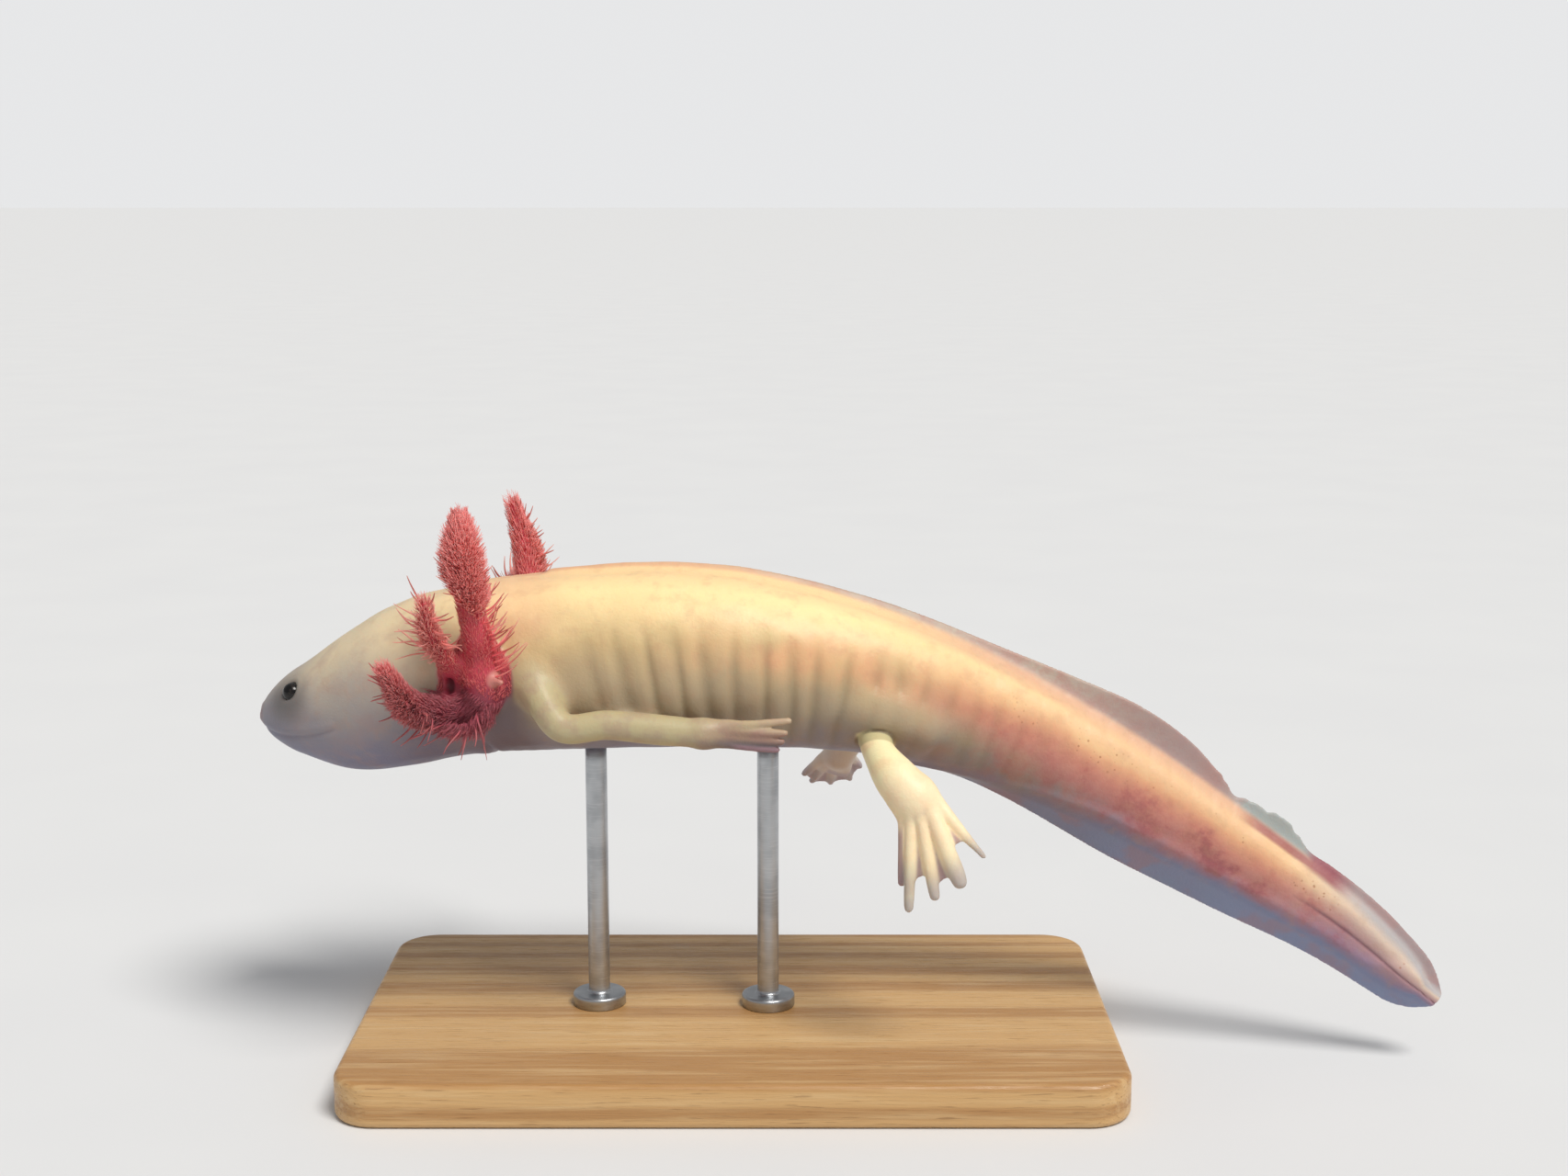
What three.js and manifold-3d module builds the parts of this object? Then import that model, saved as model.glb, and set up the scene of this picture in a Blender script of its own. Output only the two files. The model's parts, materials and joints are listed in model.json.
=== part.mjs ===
// A life-size museum model of a leucistic axolotl, swimming above a display stand.
// Millimetres, +Z up. The head points along -X and the tail along +X, so the animal's left side
// faces -Y. The origin is the centre of the underside of the stand's base.
import * as THREE from "three";
import { mergeVertices } from "three/addons/utils/BufferGeometryUtils.js";
import Module from "manifold-3d";

const wasm = await Module();
wasm.setup();

// ---------------------------------------------------------------- driving dimensions

const GAP = 0.3; // clear space between neighbouring pieces
const SAME_POINT = 1e-4; // points closer than this are one

// The middle line of the body, from the snout to the tip of the tail.
const SPINE = [
  [-89.5, 9.0, 62.3],
  [-72, 5.8, 65.2],
  [-52, 2.5, 71.2],
  [-30, 0, 74.8],
  [-5, -1, 76.2],
  [20, -0.8, 73.4],
  [44, -0.2, 66],
  [67, -1.2, 54.6],
  [90, -2.8, 41],
  [112, -6, 27],
  [130, -9, 11.8],
];
const KNOTS = chordLengths(SPINE);
const LENGTH = KNOTS.at(-1);
const SPINE_REACH = 0.5; // the body's direction is taken this far to both sides

// The flesh of head, trunk and tail: distance from the snout, half width,
// height above the middle line, depth below it.
const BODY = [
  [0, 7.5, 5, 4.2],
  [9, 11.3, 8.4, 8.2],
  [18, 14.6, 12.2, 12.8],
  [30, 17.4, 15.2, 15],
  [42, 15.8, 16.2, 15.8],
  [62, 15.6, 16.4, 16.6],
  [88, 16.4, 15.3, 17.2],
  [113, 13.4, 12.2, 15.3],
  [137, 9.2, 9.8, 12.8],
  [165, 6.2, 8.4, 9.2],
  [190, 4.4, 6.7, 7.4],
  [215, 2.9, 4.7, 5.5],
  [LENGTH, 1.7, 2.6, 3.2],
];
const SECTION_POWER = 2.25; // above 2, so that a section is a little squarer than an ellipse
const SNOUT_ROUNDING = 9; // the length over which the snout rounds off
const SNOUT_TURNS = [0.2, 0.4, 0.6, 0.8]; // its sections, as shares of a quarter turn
const TAIL_ROUNDING = 7; // the same for the flesh of the tail
const TAIL_TURNS = [0.66, 0.33];
const TIP_WEB = 2; // the fin reaches this far past the flesh at the tip of the tail
const BODY_SIDES = 20;
const WHOLE_BODY_STEP = 4; // between the sections of the body that other pieces are cut by

// The fins: distance from the snout, height of the edge over the flesh.
const DORSAL_FIN = [
  [62, 0.2],
  [88, 1],
  [113, 1.6],
  [137, 2.4],
  [150, 3.8],
  [165, 5.6],
  [177, 4.8],
  [190, 2.4],
  [199, 3.1],
  [208, 1.9],
  [222, 2.1],
  [LENGTH, 1.8],
];
const VENTRAL_FIN = [
  [130, 0.2],
  [137, 0.6],
  [150, 2.4],
  [165, 4.7],
  [180, 5.4],
  [199, 4.8],
  [222, 3.4],
  [LENGTH, 2.3],
];
const FIN_ROOT = 0.9; // half thickness where the fin leaves the flesh
const FIN_EDGE = 0.3; // half thickness of its edge
const FIN_ROUNDING = 5; // the length over which the tip of the tail rounds off
const FIN_STEP = 5;
const FIN_TIP_PLACES = [3, 1.5, 0.5, 0.1]; // its last sections, by distance from the tail's tip
const DORSAL_FIN_START = 86;
const DORSAL_FIN_SPLIT = 137; // between the pieces over the trunk and over the tail
const VENTRAL_FIN_START = 139;

// Cuts across the body, by distance from the snout, and the length of flesh between its sections.
const BODY_PARTS = [
  { name: "head", from: 0, to: 36, step: 3.8 },
  { name: "neck", from: 36, to: 50, step: 3.5 },
  { name: "trunk_front", from: 50, to: 75, step: 4.2 },
  { name: "trunk_middle", from: 75, to: 101, step: 4.3 },
  { name: "trunk_rear", from: 101, to: 128, step: 4.5 },
  { name: "tail_base", from: 128, to: 163, step: 6 },
  { name: "tail_middle", from: 163, to: 200, step: 6 },
  { name: "tail_tip", from: 200, to: LENGTH - TIP_WEB, step: 6 },
];

// The mouth runs from the snout to its corner behind the eye, and dips between them.
const MOUTH = { corner: 19.5, level: -1.3, dip: 1.5 };
// The block that parts the jaw: how far it runs past the snout, and past the cheeks and chin.
const JAW_BLOCK = { ahead: 6, reach: 30, step: 5 };

// The eyes: distance from the snout, height over the middle line, radius, depth of the centre.
const EYE = { at: 9.6, height: 5.5, radius: 2, sunk: 1, around: 10, down: 7 };
const SLOPE_REACH = 1; // the head's widening beside the eye is taken over this length

// Limbs. Each row is a point of the middle line with its half width and, where it is flat, its
// half thickness. The left limbs are given, and the right foreleg is the left one's mirror image.
const FORELEG_LEFT = {
  leg: [
    [-38.4, -10, 76.4, 4],
    [-34.2, -16, 70.9, 3.1],
    [-30.3, -18.5, 66.2, 2.7],
    [-22.4, -19, 66.7, 2.6],
    [-13.4, -19.5, 66, 2.7],
    [-5.3, -20, 65.4, 2.5],
  ],
  joints: [2, 5],
  palm: [
    [-5.3, -20, 65.4, 2.5, 2.3],
    [-1.6, -20.4, 65.3, 3, 1.8],
    [1.6, -20.7, 65.3, 3.1, 1.1],
    [3.4, -20.9, 65.3, 2.6, 0.5],
  ],
  digits: [
    { from: [0, -20.6, 67], to: [10.1, -22.2, 68.3], root: 1.1, tip: 0.65 },
    { from: [0.6, -20.6, 65.9], to: [9.6, -22.8, 66.3], root: 1.1, tip: 0.65 },
    { from: [0.4, -20.6, 64.7], to: [8.7, -22.6, 64.2], root: 1.1, tip: 0.65 },
    { from: [-1.2, -20.6, 63.6], to: [4.4, -22.6, 62.7], root: 1.1, tip: 0.65 },
  ],
};
const HINDLEG_LEFT = {
  leg: [
    [24.2, -7, 64.6, 3.6],
    [25.8, -16.5, 62, 3.1],
    [28.5, -21.5, 58, 3.6],
    [31.4, -23.8, 54.2, 3.9],
    [33, -24.6, 51.6, 3.9],
  ],
  joints: [2, 4],
  palm: [
    [33, -24.6, 51.6, 4.1, 3.1],
    [33.7, -25.1, 49.6, 4.9, 2.2],
    [34.4, -25.6, 47.4, 5, 1.2],
    [34.9, -26, 45.2, 4.5, 0.55],
  ],
  digits: [
    { from: [30.6, -25.1, 49.8], to: [29.9, -25.6, 39.2], root: 1.2, tip: 0.75 },
    { from: [32.2, -25.2, 49.2], to: [31, -27, 35.2], root: 1.25, tip: 0.75 },
    { from: [34, -25.3, 49], to: [35.4, -28.6, 38], root: 1.3, tip: 0.8 },
    { from: [35.8, -25.3, 49.1], to: [39.7, -29.6, 41], root: 1.4, tip: 1.1 },
    { from: [37.2, -25.2, 50.4], to: [44, -28, 45.2], root: 1.2, tip: 0.65 },
  ],
};
const HINDLEG_RIGHT = {
  leg: [
    [24.4, 6, 64.6, 3.8],
    [25, 15.5, 61, 3.2],
    [23.3, 20.5, 56.4, 3.4],
    [20.9, 22.8, 52.4, 3],
    [19.9, 23.8, 50.4, 2.7],
  ],
  joints: [2, 4],
  palm: [
    [19.9, 23.8, 50.4, 2.8, 2.5],
    [19.2, 25.2, 48.7, 3.5, 1.8],
    [18.6, 26.8, 47.2, 3.8, 1.1],
    [18.3, 28.4, 45.8, 3.6, 0.55],
  ],
  digits: [
    { from: [22.1, 25.4, 49.6], to: [24.3, 31.5, 46], root: 1.1, tip: 0.7 },
    { from: [20.7, 25.7, 48.8], to: [22.4, 34.6, 42.6], root: 1.15, tip: 0.7 },
    { from: [19.2, 25.8, 48.5], to: [18.4, 35.4, 41.6], root: 1.2, tip: 0.75 },
    { from: [17.8, 25.7, 48.6], to: [14.6, 34.2, 42.2], root: 1.15, tip: 0.7 },
    { from: [16.8, 25.3, 49.2], to: [13, 31.6, 44.4], root: 1.1, tip: 0.7 },
  ],
};
const FORELEG_MIRROR_AT = 53; // the right foreleg mirrors the left one about this section
const FORELEG_PARTS = ["upper", "lower", "hand"];
const HINDLEG_PARTS = ["thigh", "shin", "foot"];
const LIMB_SIDES = 8;
const LIMB_STEP = 3.6;
const PALM_STEP = 2.6;
const DIGIT_SIDES = 5;
const DIGIT_BEND = 0.05; // how far a digit bows, as a share of its length
const DIGIT_TAPER = 0.55; // the share of its taper that it reaches halfway
const DIGIT_PULL = 0.06; // its end is pulled back by this share, to leave room for the round tip
// A tube's direction is taken this far to both sides. Its round tip has one ring and a point.
const TUBE_REACH = 0.05;
const TIP_RING = { size: 0.75, ahead: 0.66 }; // as shares of the radius

// Left gills. Each has a tapered stalk (middle line and radius) and two rows of filaments. The
// rows open out from the fringe, a direction given at the root and at the tip, by `open` degrees.
// The filaments are as long as the reach at the root and shorter by the taper at the tip.
const GILLS_LEFT = {
  top: {
    stalk: [
      [-46, -12, 75.6, 2.9],
      [-45, -17.6, 81.6, 2.6],
      [-46.1, -19.8, 89.6, 2],
      [-47, -20, 97, 1.4],
      [-47.4, -19, 103.2, 0.8],
    ],
    fringe: [[1, -0.1, -0.2], [0.1, -1, 0]],
    open: [30, 78],
    reach: 8.8,
    taper: 0.72,
    count: 7,
  },
  middle: {
    stalk: [
      [-49.4, -12, 74, 2.7],
      [-50.7, -18.8, 79, 2],
      [-52.4, -23.8, 84.4, 1.6],
      [-52.7, -27, 90, 0.8],
    ],
    fringe: [[-0.4, -0.8, -0.5], [-0.4, -0.8, -0.5]],
    open: [60, 95],
    reach: 6,
    taper: 0.5,
    count: 5,
  },
  bottom: {
    stalk: [
      [-49.6, -11.5, 70.2, 2.7],
      [-52.4, -18, 69, 2.2],
      [-56.5, -23, 71.7, 1.7],
      [-59.8, -27, 78, 0.8],
    ],
    fringe: [[0.1, -0.3, -1], [-0.2, -0.5, -1]],
    open: [30, 65],
    reach: 8,
    taper: 0.48,
    count: 6,
  },
};
// The right gills mirror the left ones about the middle plane at this distance from the snout,
// and their tips are then swung by these vectors.
const GILL_MIRROR_AT = 44;
const GILL_SWAY = { top: [-1.4, 2, -3.2], middle: [1, 3, -5], bottom: [0.5, 1, -2] };
const FILAMENTS = { start: 0.2, lean: 0.35, notch: 0.5, halfThickness: 0.3 };
const STALK_SIDES = 6;
const STALK_STEP = 7;
const STALK_REACH = 0.1; // the stalk's direction is taken this far to both sides

// The display stand: a flat base, and two rods whose feet rest on it.
const BASE = { length: 140, width: 80, height: 8, corner: 8, cornerSteps: 3, bevel: 1 };
const ROD = { radius: 2, foot: 5, footHeight: 2.4, chamfer: 0.6, sides: 16 };
const RODS = [
  { name: "stand_rod_front", x: -26, y: 0, reach: 64 },
  { name: "stand_rod_rear", x: 6, y: -0.8, reach: 64 },
];

const MATERIALS = {
  skin: new THREE.MeshStandardMaterial({ color: 0xf0dcb4, roughness: 0.42 }),
  fin: new THREE.MeshStandardMaterial({ color: 0xb9b3ae, roughness: 0.4 }),
  gill: new THREE.MeshStandardMaterial({ color: 0xb23a44, roughness: 0.5 }),
  eye: new THREE.MeshStandardMaterial({ color: 0x0b0a0c, roughness: 0.12 }),
  wood: new THREE.MeshStandardMaterial({ color: 0xc9a778, roughness: 0.55 }),
  steel: new THREE.MeshStandardMaterial({ color: 0xb8babc, roughness: 0.28, metalness: 1 }),
};

// ---------------------------------------------------------------- curves

// Distances along a row of points, measured straight from each to the next.
function chordLengths(points) {
  const lengths = [0];
  for (let i = 1; i < points.length; i++) {
    const [a, b] = [points[i - 1], points[i]];
    lengths.push(lengths[i - 1] + Math.hypot(b[0] - a[0], b[1] - a[1], b[2] - a[2]));
  }
  return lengths;
}

// A smooth cubic through the rows at the given knots: every number of a row is interpolated.
function smooth(knots, rows, x) {
  let i = 0;
  while (i < knots.length - 2 && x > knots[i + 1]) i++;
  const rise = (k, n) => (rows[k + 1][n] - rows[k][n]) / (knots[k + 1] - knots[k]);
  const slope = (k, n) => {
    if (k === 0) return rise(0, n);
    if (k === knots.length - 1) return rise(k - 1, n);
    return (rise(k - 1, n) + rise(k, n)) / 2;
  };
  const h = knots[i + 1] - knots[i];
  const t = (x - knots[i]) / h;
  return rows[i].map(
    (start, n) =>
      (2 * t ** 3 - 3 * t ** 2 + 1) * start +
      (t ** 3 - 2 * t ** 2 + t) * h * slope(i, n) +
      (3 * t ** 2 - 2 * t ** 3) * rows[i + 1][n] +
      (t ** 3 - t ** 2) * h * slope(i + 1, n),
  );
}

// A table whose first column is the knot: the other columns, interpolated at x.
function lookUp(table, x) {
  const knots = table.map((row) => row[0]);
  const held = Math.min(Math.max(x, knots[0]), knots.at(-1));
  return smooth(knots, table.map((row) => row.slice(1)), held);
}

// From 0 at an end to 1 where a round end meets the full section.
function roundEnd(t) {
  const held = Math.min(Math.max(t, 0), 1);
  return Math.sqrt(1 - (1 - held) ** 2);
}

function evenly(from, to, step) {
  const count = Math.max(1, Math.round((to - from) / step));
  return Array.from({ length: count + 1 }, (_, i) => from + ((to - from) * i) / count);
}

// ---------------------------------------------------------------- the body's own frame

// The middle line at a distance from the snout, with the directions along it, to the animal's
// left and up.
function bodyFrame(d) {
  const at = (x) => new THREE.Vector3(...smooth(KNOTS, SPINE, x));
  const along = at(d + SPINE_REACH).sub(at(d - SPINE_REACH)).normalize();
  const left = along.clone().cross(new THREE.Vector3(0, 0, 1)).normalize();
  const up = left.clone().cross(along);
  return { origin: at(d), along, left, up };
}

function inBody(frame, left, up) {
  return frame.origin.clone().addScaledVector(frame.left, left).addScaledVector(frame.up, up);
}

function flesh(d) {
  const [width, above, below] = lookUp(BODY, d);
  const tail = roundEnd((LENGTH - TIP_WEB - d) / TAIL_ROUNDING);
  const scale = roundEnd(d / SNOUT_ROUNDING) * tail;
  return { width: width * scale, above: above * scale, below: below * scale };
}

function bodyRing(d, grow = 0) {
  const frame = bodyFrame(d);
  const { width, above, below } = flesh(d);
  return Array.from({ length: BODY_SIDES }, (_, i) => {
    const angle = (2 * Math.PI * i) / BODY_SIDES;
    const power = 2 / SECTION_POWER;
    const c = Math.sign(Math.cos(angle)) * Math.abs(Math.cos(angle)) ** power;
    const s = Math.sign(Math.sin(angle)) * Math.abs(Math.sin(angle)) ** power;
    const height = (s > 0 ? above : below) + grow;
    return inBody(frame, (width + grow) * c, height * s);
  });
}

// ---------------------------------------------------------------- solids

// A closed solid through rings of the same number of points. Its ends close on the given
// points, or on the middle of the first and last ring.
function loft(rings, firstPoint, lastPoint) {
  const sides = rings[0].length;
  const middle = (ring) =>
    ring.reduce((sum, p) => sum.add(p), new THREE.Vector3()).divideScalar(ring.length);
  const points = rings.flat();
  const first = points.length;
  points.push(firstPoint ?? middle(rings[0]), lastPoint ?? middle(rings.at(-1)));
  const index = [];
  for (let i = 0; i < sides; i++) {
    const j = (i + 1) % sides;
    const last = (rings.length - 1) * sides;
    index.push(first, j, i, first + 1, last + i, last + j);
    for (let k = 0; k < rings.length - 1; k++) {
      const [a, b] = [k * sides, (k + 1) * sides];
      index.push(a + i, a + j, b + j, a + i, b + j, b + i);
    }
  }
  const geometry = new THREE.BufferGeometry().setFromPoints(points);
  geometry.setIndex(index);
  return facingOut(toSolid(geometry), index, geometry);
}

// The solid itself, or the one made with its faces turned round if it came out inside out.
function facingOut(solid, index, geometry) {
  if (solid.volume() > 0) return solid;
  for (let i = 0; i < index.length; i += 3) {
    [index[i], index[i + 1]] = [index[i + 1], index[i]];
  }
  geometry.setIndex(index);
  return toSolid(geometry);
}

function toSolid(geometry) {
  const bare = geometry.clone();
  bare.deleteAttribute("normal");
  bare.deleteAttribute("uv");
  const merged = mergeVertices(bare, SAME_POINT);
  return new wasm.Manifold(
    new wasm.Mesh({
      numProp: 3,
      vertProperties: merged.attributes.position.array,
      triVerts: new Uint32Array(merged.index.array),
    }),
  );
}

// Sections of a round end, by distance from its tip, the closer together the nearer to it.
function turned(turns, rounding) {
  return turns.map((turn) => rounding * (1 - Math.cos((turn * Math.PI) / 2)));
}

// A length of the body, as thick as the flesh grown by `grow`.
function bodyLength(from, to, step, grow = 0) {
  const snout = from <= 0;
  const tail = to >= LENGTH - TIP_WEB;
  const places = [
    ...(snout ? turned(SNOUT_TURNS, SNOUT_ROUNDING) : []),
    ...evenly(snout ? SNOUT_ROUNDING : from, tail ? to - TAIL_ROUNDING : to, step),
    ...(tail ? turned(TAIL_TURNS, TAIL_ROUNDING).map((back) => to - back) : []),
  ];
  const firstPoint = snout ? inBody(bodyFrame(-grow), 0, 0) : undefined;
  const lastPoint = tail ? inBody(bodyFrame(to + grow), 0, 0) : undefined;
  return loft(places.map((d) => bodyRing(d, grow)), firstPoint, lastPoint);
}

// A tube along rows of [x, y, z, half width, half thickness], between two distances along it.
// Its thickness lies across the row's normal, and a round tip closes it.
function tube(rows, { sides, step, normal = [0, 1, 0], from = 0, to, tip = false, grow = 0 }) {
  const full = rows.map((row) => (row.length === 4 ? [...row, row[3]] : row));
  const knots = chordLengths(full);
  const end = to ?? knots.at(-1);
  const at = (s) => smooth(knots, full, s);
  const place = (s) => new THREE.Vector3(...at(s).slice(0, 3));
  let thin = new THREE.Vector3(...normal);
  const ringAt = (s, scale = 1, beyond = 0) => {
    const along = place(s + TUBE_REACH).sub(place(s - TUBE_REACH)).normalize();
    thin = thin.addScaledVector(along, -thin.dot(along)).normalize();
    const wide = along.clone().cross(thin);
    const centre = place(s).addScaledVector(along, beyond);
    const [halfWidth, halfThickness] = at(s).slice(3);
    return Array.from({ length: sides }, (_, i) => {
      const angle = (2 * Math.PI * i) / sides;
      return centre
        .clone()
        .addScaledVector(wide, Math.cos(angle) * (halfWidth + grow) * scale)
        .addScaledVector(thin, Math.sin(angle) * (halfThickness + grow) * scale);
    });
  };
  const rings = evenly(from, end, step).map((s) => ringAt(s));
  if (!tip) return loft(rings);
  const radius = at(end)[4] + grow;
  rings.push(ringAt(end, TIP_RING.size, TIP_RING.ahead * radius));
  const along = place(end).sub(place(end - TUBE_REACH)).normalize();
  return loft(rings, undefined, place(end).addScaledVector(along, radius));
}

// The largest body of a solid, which drops the chips that a cut leaves.
function largest(solid) {
  const bodies = solid.decompose();
  return bodies.reduce((best, one) => (one.volume() > best.volume() ? one : best), bodies[0]);
}

function join(solids) {
  return solids.reduce((sum, one) => sum.add(one));
}

const bodyWithGap = bodyLength(0, LENGTH - TIP_WEB, WHOLE_BODY_STEP, GAP);

// ---------------------------------------------------------------- head, trunk and tail

// The space below the mouth line and ahead of its corner, moved back from both by `inset`.
function jawSpace(inset) {
  const { ahead, reach, step } = JAW_BLOCK;
  const rings = evenly(-ahead, MOUTH.corner - inset, step).map((d) => {
    const frame = bodyFrame(Math.max(d, 0));
    frame.origin.addScaledVector(frame.along, Math.min(d, 0));
    const share = Math.min(Math.max(d / MOUTH.corner, 0), 1);
    const line = MOUTH.level - MOUTH.dip * Math.sin(Math.PI * share) - inset;
    const corners = [[-reach, line], [reach, line], [reach, -reach], [-reach, -reach]];
    return corners.map(([left, up]) => inBody(frame, left, up));
  });
  return loft(rings);
}

// The centre of an eye: below the point of the head's surface where it sits, square to it.
function eyeCentre(side) {
  const frame = bodyFrame(EYE.at);
  const { width, above } = flesh(EYE.at);
  const share = EYE.height / above;
  const left = width * (1 - share ** SECTION_POWER) ** (1 / SECTION_POWER);
  const spread = (width - flesh(EYE.at - SLOPE_REACH).width) / SLOPE_REACH;
  const outward = frame.left
    .clone()
    .multiplyScalar((side * (left / width) ** (SECTION_POWER - 1)) / width)
    .addScaledVector(frame.up, share ** (SECTION_POWER - 1) / above)
    .normalize()
    .addScaledVector(frame.along, -spread)
    .normalize();
  return inBody(frame, side * left, EYE.height).addScaledVector(outward, -EYE.sunk);
}

function eyeball(side, grow = 0) {
  const ball = new THREE.SphereGeometry(EYE.radius + grow, EYE.around, EYE.down);
  ball.translate(...eyeCentre(side));
  return toSolid(ball);
}

function bodySolids() {
  const last = BODY_PARTS.length - 1;
  const solids = BODY_PARTS.map((part, i) => {
    const from = i === 0 ? part.from : part.from + GAP / 2;
    const to = i === last ? part.to : part.to - GAP / 2;
    return [part.name, bodyLength(from, to, part.step)];
  });
  const sockets = join([eyeball(1, GAP), eyeball(-1, GAP)]);
  const [, wholeHead] = solids.shift();
  return [
    ["head", largest(wholeHead.subtract(jawSpace(-GAP / 2)).subtract(sockets))],
    ["lower_jaw", largest(wholeHead.intersect(jawSpace(GAP / 2)).subtract(sockets))],
    ...solids,
  ];
}

// ---------------------------------------------------------------- fins

// A fin between two distances: `side` is 1 along the back and -1 under the tail. It is a wedge
// from just clear of the flesh to the fin's edge, and wraps half of the tip of the tail.
function finSolid(table, side, from, to) {
  const wraps = to >= LENGTH;
  const places = evenly(from, wraps ? LENGTH - FIN_ROUNDING : to, FIN_STEP);
  if (wraps) places.push(...FIN_TIP_PLACES.map((back) => LENGTH - back));
  const rings = places.map((d) => {
    const { above, below } = flesh(d);
    const [, fullAbove, fullBelow] = lookUp(BODY, d);
    const edge = (side > 0 ? fullAbove : fullBelow) + lookUp(table, d)[0];
    const tip = edge * roundEnd((LENGTH - d) / FIN_ROUNDING);
    const fleshHeight = side > 0 ? above : below;
    const root = fleshHeight > 0 ? fleshHeight + GAP : GAP / 2;
    const outline = [[-FIN_ROOT, root], [FIN_ROOT, root], [FIN_EDGE, tip], [-FIN_EDGE, tip]];
    return outline.map(([left, up]) => inBody(bodyFrame(d), left, side * up));
  });
  return loft(rings);
}

function finSolids() {
  const [before, after] = [DORSAL_FIN_SPLIT - GAP / 2, DORSAL_FIN_SPLIT + GAP / 2];
  return [
    ["fin_dorsal_trunk", finSolid(DORSAL_FIN, 1, DORSAL_FIN_START, before)],
    ["fin_dorsal_tail", finSolid(DORSAL_FIN, 1, after, LENGTH)],
    ["fin_ventral_tail", finSolid(VENTRAL_FIN, -1, VENTRAL_FIN_START, LENGTH)],
  ];
}

// ---------------------------------------------------------------- limbs

// A mirror image about the body's middle plane at a distance from the snout.
function mirror(row, at) {
  const { origin, left } = bodyFrame(at);
  const point = new THREE.Vector3(...row.slice(0, 3));
  point.addScaledVector(left, -2 * point.clone().sub(origin).dot(left));
  return [...point, ...row.slice(3)];
}

function mirrorLimb(limb, at) {
  return {
    leg: limb.leg.map((row) => mirror(row, at)),
    joints: limb.joints,
    palm: limb.palm.map((row) => mirror(row, at)),
    digits: limb.digits.map((digit) => ({
      ...digit,
      from: mirror(digit.from, at),
      to: mirror(digit.to, at),
    })),
  };
}

// A digit bows a little towards the body's side of the foot.
function digitSolid({ from, to, root, tip }) {
  const start = new THREE.Vector3(...from);
  const finish = new THREE.Vector3(...to);
  const bow = start.distanceTo(finish) * DIGIT_BEND * Math.sign(start.y);
  const middle = start.clone().lerp(finish, 0.5).add(new THREE.Vector3(0, bow, 0));
  const rows = [
    [...start, root],
    [...middle, root + (tip - root) * DIGIT_TAPER],
    [...finish.lerp(middle, DIGIT_PULL), tip],
  ];
  const length = chordLengths(rows).at(-1);
  return tube(rows, { sides: DIGIT_SIDES, step: length / 2, tip: true });
}

// The three solids of a limb. The foot is also cut clear of the leg that it joins.
function limbSolids(limb, names) {
  const knots = chordLengths(limb.leg);
  const [first, second] = limb.joints.map((i) => knots[i]);
  const out = new THREE.Vector3(...limb.leg[1]).sub(new THREE.Vector3(...limb.leg[0]));
  const shape = { sides: LIMB_SIDES, step: LIMB_STEP, normal: [out.z, 0, -out.x] };
  const upper = tube(limb.leg, { ...shape, to: first - GAP / 2 });
  const lower = tube(limb.leg, { ...shape, from: first + GAP / 2, to: second - GAP / 2 });
  const palm = tube(limb.palm, { sides: LIMB_SIDES, step: PALM_STEP, tip: true });
  const foot = join([palm, ...limb.digits.map(digitSolid)]);
  const legWithGap = tube(limb.leg, { ...shape, from: first, to: second + GAP / 2, grow: GAP });
  const solids = [upper, lower, foot.subtract(legWithGap)];
  return names.map((name, i) => [name, largest(solids[i].subtract(bodyWithGap))]);
}

// ---------------------------------------------------------------- gills

function mirrorGill(gill, sway) {
  const { left } = bodyFrame(GILL_MIRROR_AT);
  const fringe = gill.fringe.map((row) => {
    const way = new THREE.Vector3(...row);
    return [...way.addScaledVector(left, -2 * way.dot(left))];
  });
  const last = gill.stalk.length - 1;
  const stalk = gill.stalk.map((row, i) => {
    const [x, y, z, radius] = mirror(row, GILL_MIRROR_AT);
    const share = (i / last) ** 2;
    return [x + share * sway[0], y + share * sway[1], z + share * sway[2], radius];
  });
  return { ...gill, stalk, fringe };
}

// One row of filaments, as a thin comb from the stalk out to their tips and back to the notches
// between them. `hand` is 1 or -1, for the two sides of the fringe direction.
function comb(gill, hand, grow) {
  const knots = chordLengths(gill.stalk);
  const at = (s) => new THREE.Vector3(...smooth(knots, gill.stalk, s).slice(0, 3));
  const half = FILAMENTS.halfThickness + grow;
  const rings = evenly(0, 2 * gill.count, 1).map((k) => {
    const share = FILAMENTS.start + ((1 - FILAMENTS.start) * k) / (2 * gill.count);
    const place = share * knots.at(-1);
    const root = at(place);
    const along = at(place + STALK_REACH).sub(at(place - STALK_REACH)).normalize();
    const fringe = new THREE.Vector3(...gill.fringe[0]);
    fringe.lerp(new THREE.Vector3(...gill.fringe[1]), share);
    fringe.addScaledVector(along, -fringe.dot(along)).normalize();
    const turn = gill.open[0] + (gill.open[1] - gill.open[0]) * share;
    const way = fringe.applyAxisAngle(along, THREE.MathUtils.degToRad(hand * turn));
    const across = along.clone().cross(way).multiplyScalar(half);
    const reach = gill.reach * (1 - gill.taper * share) * (k % 2 ? 1 : FILAMENTS.notch) + grow;
    const tip = root.clone().addScaledVector(way, reach);
    tip.addScaledVector(along, FILAMENTS.lean * reach);
    return [
      root.clone().sub(across),
      root.clone().add(across),
      tip.clone().add(across),
      tip.clone().sub(across),
    ];
  });
  return loft(rings);
}

// The stalk and its two rows of filaments, as one solid.
function gillSolid(gill, grow = 0) {
  const stalk = tube(gill.stalk, { sides: STALK_SIDES, step: STALK_STEP, tip: true, grow });
  return join([stalk, comb(gill, 1, grow), comb(gill, -1, grow)]);
}

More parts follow.
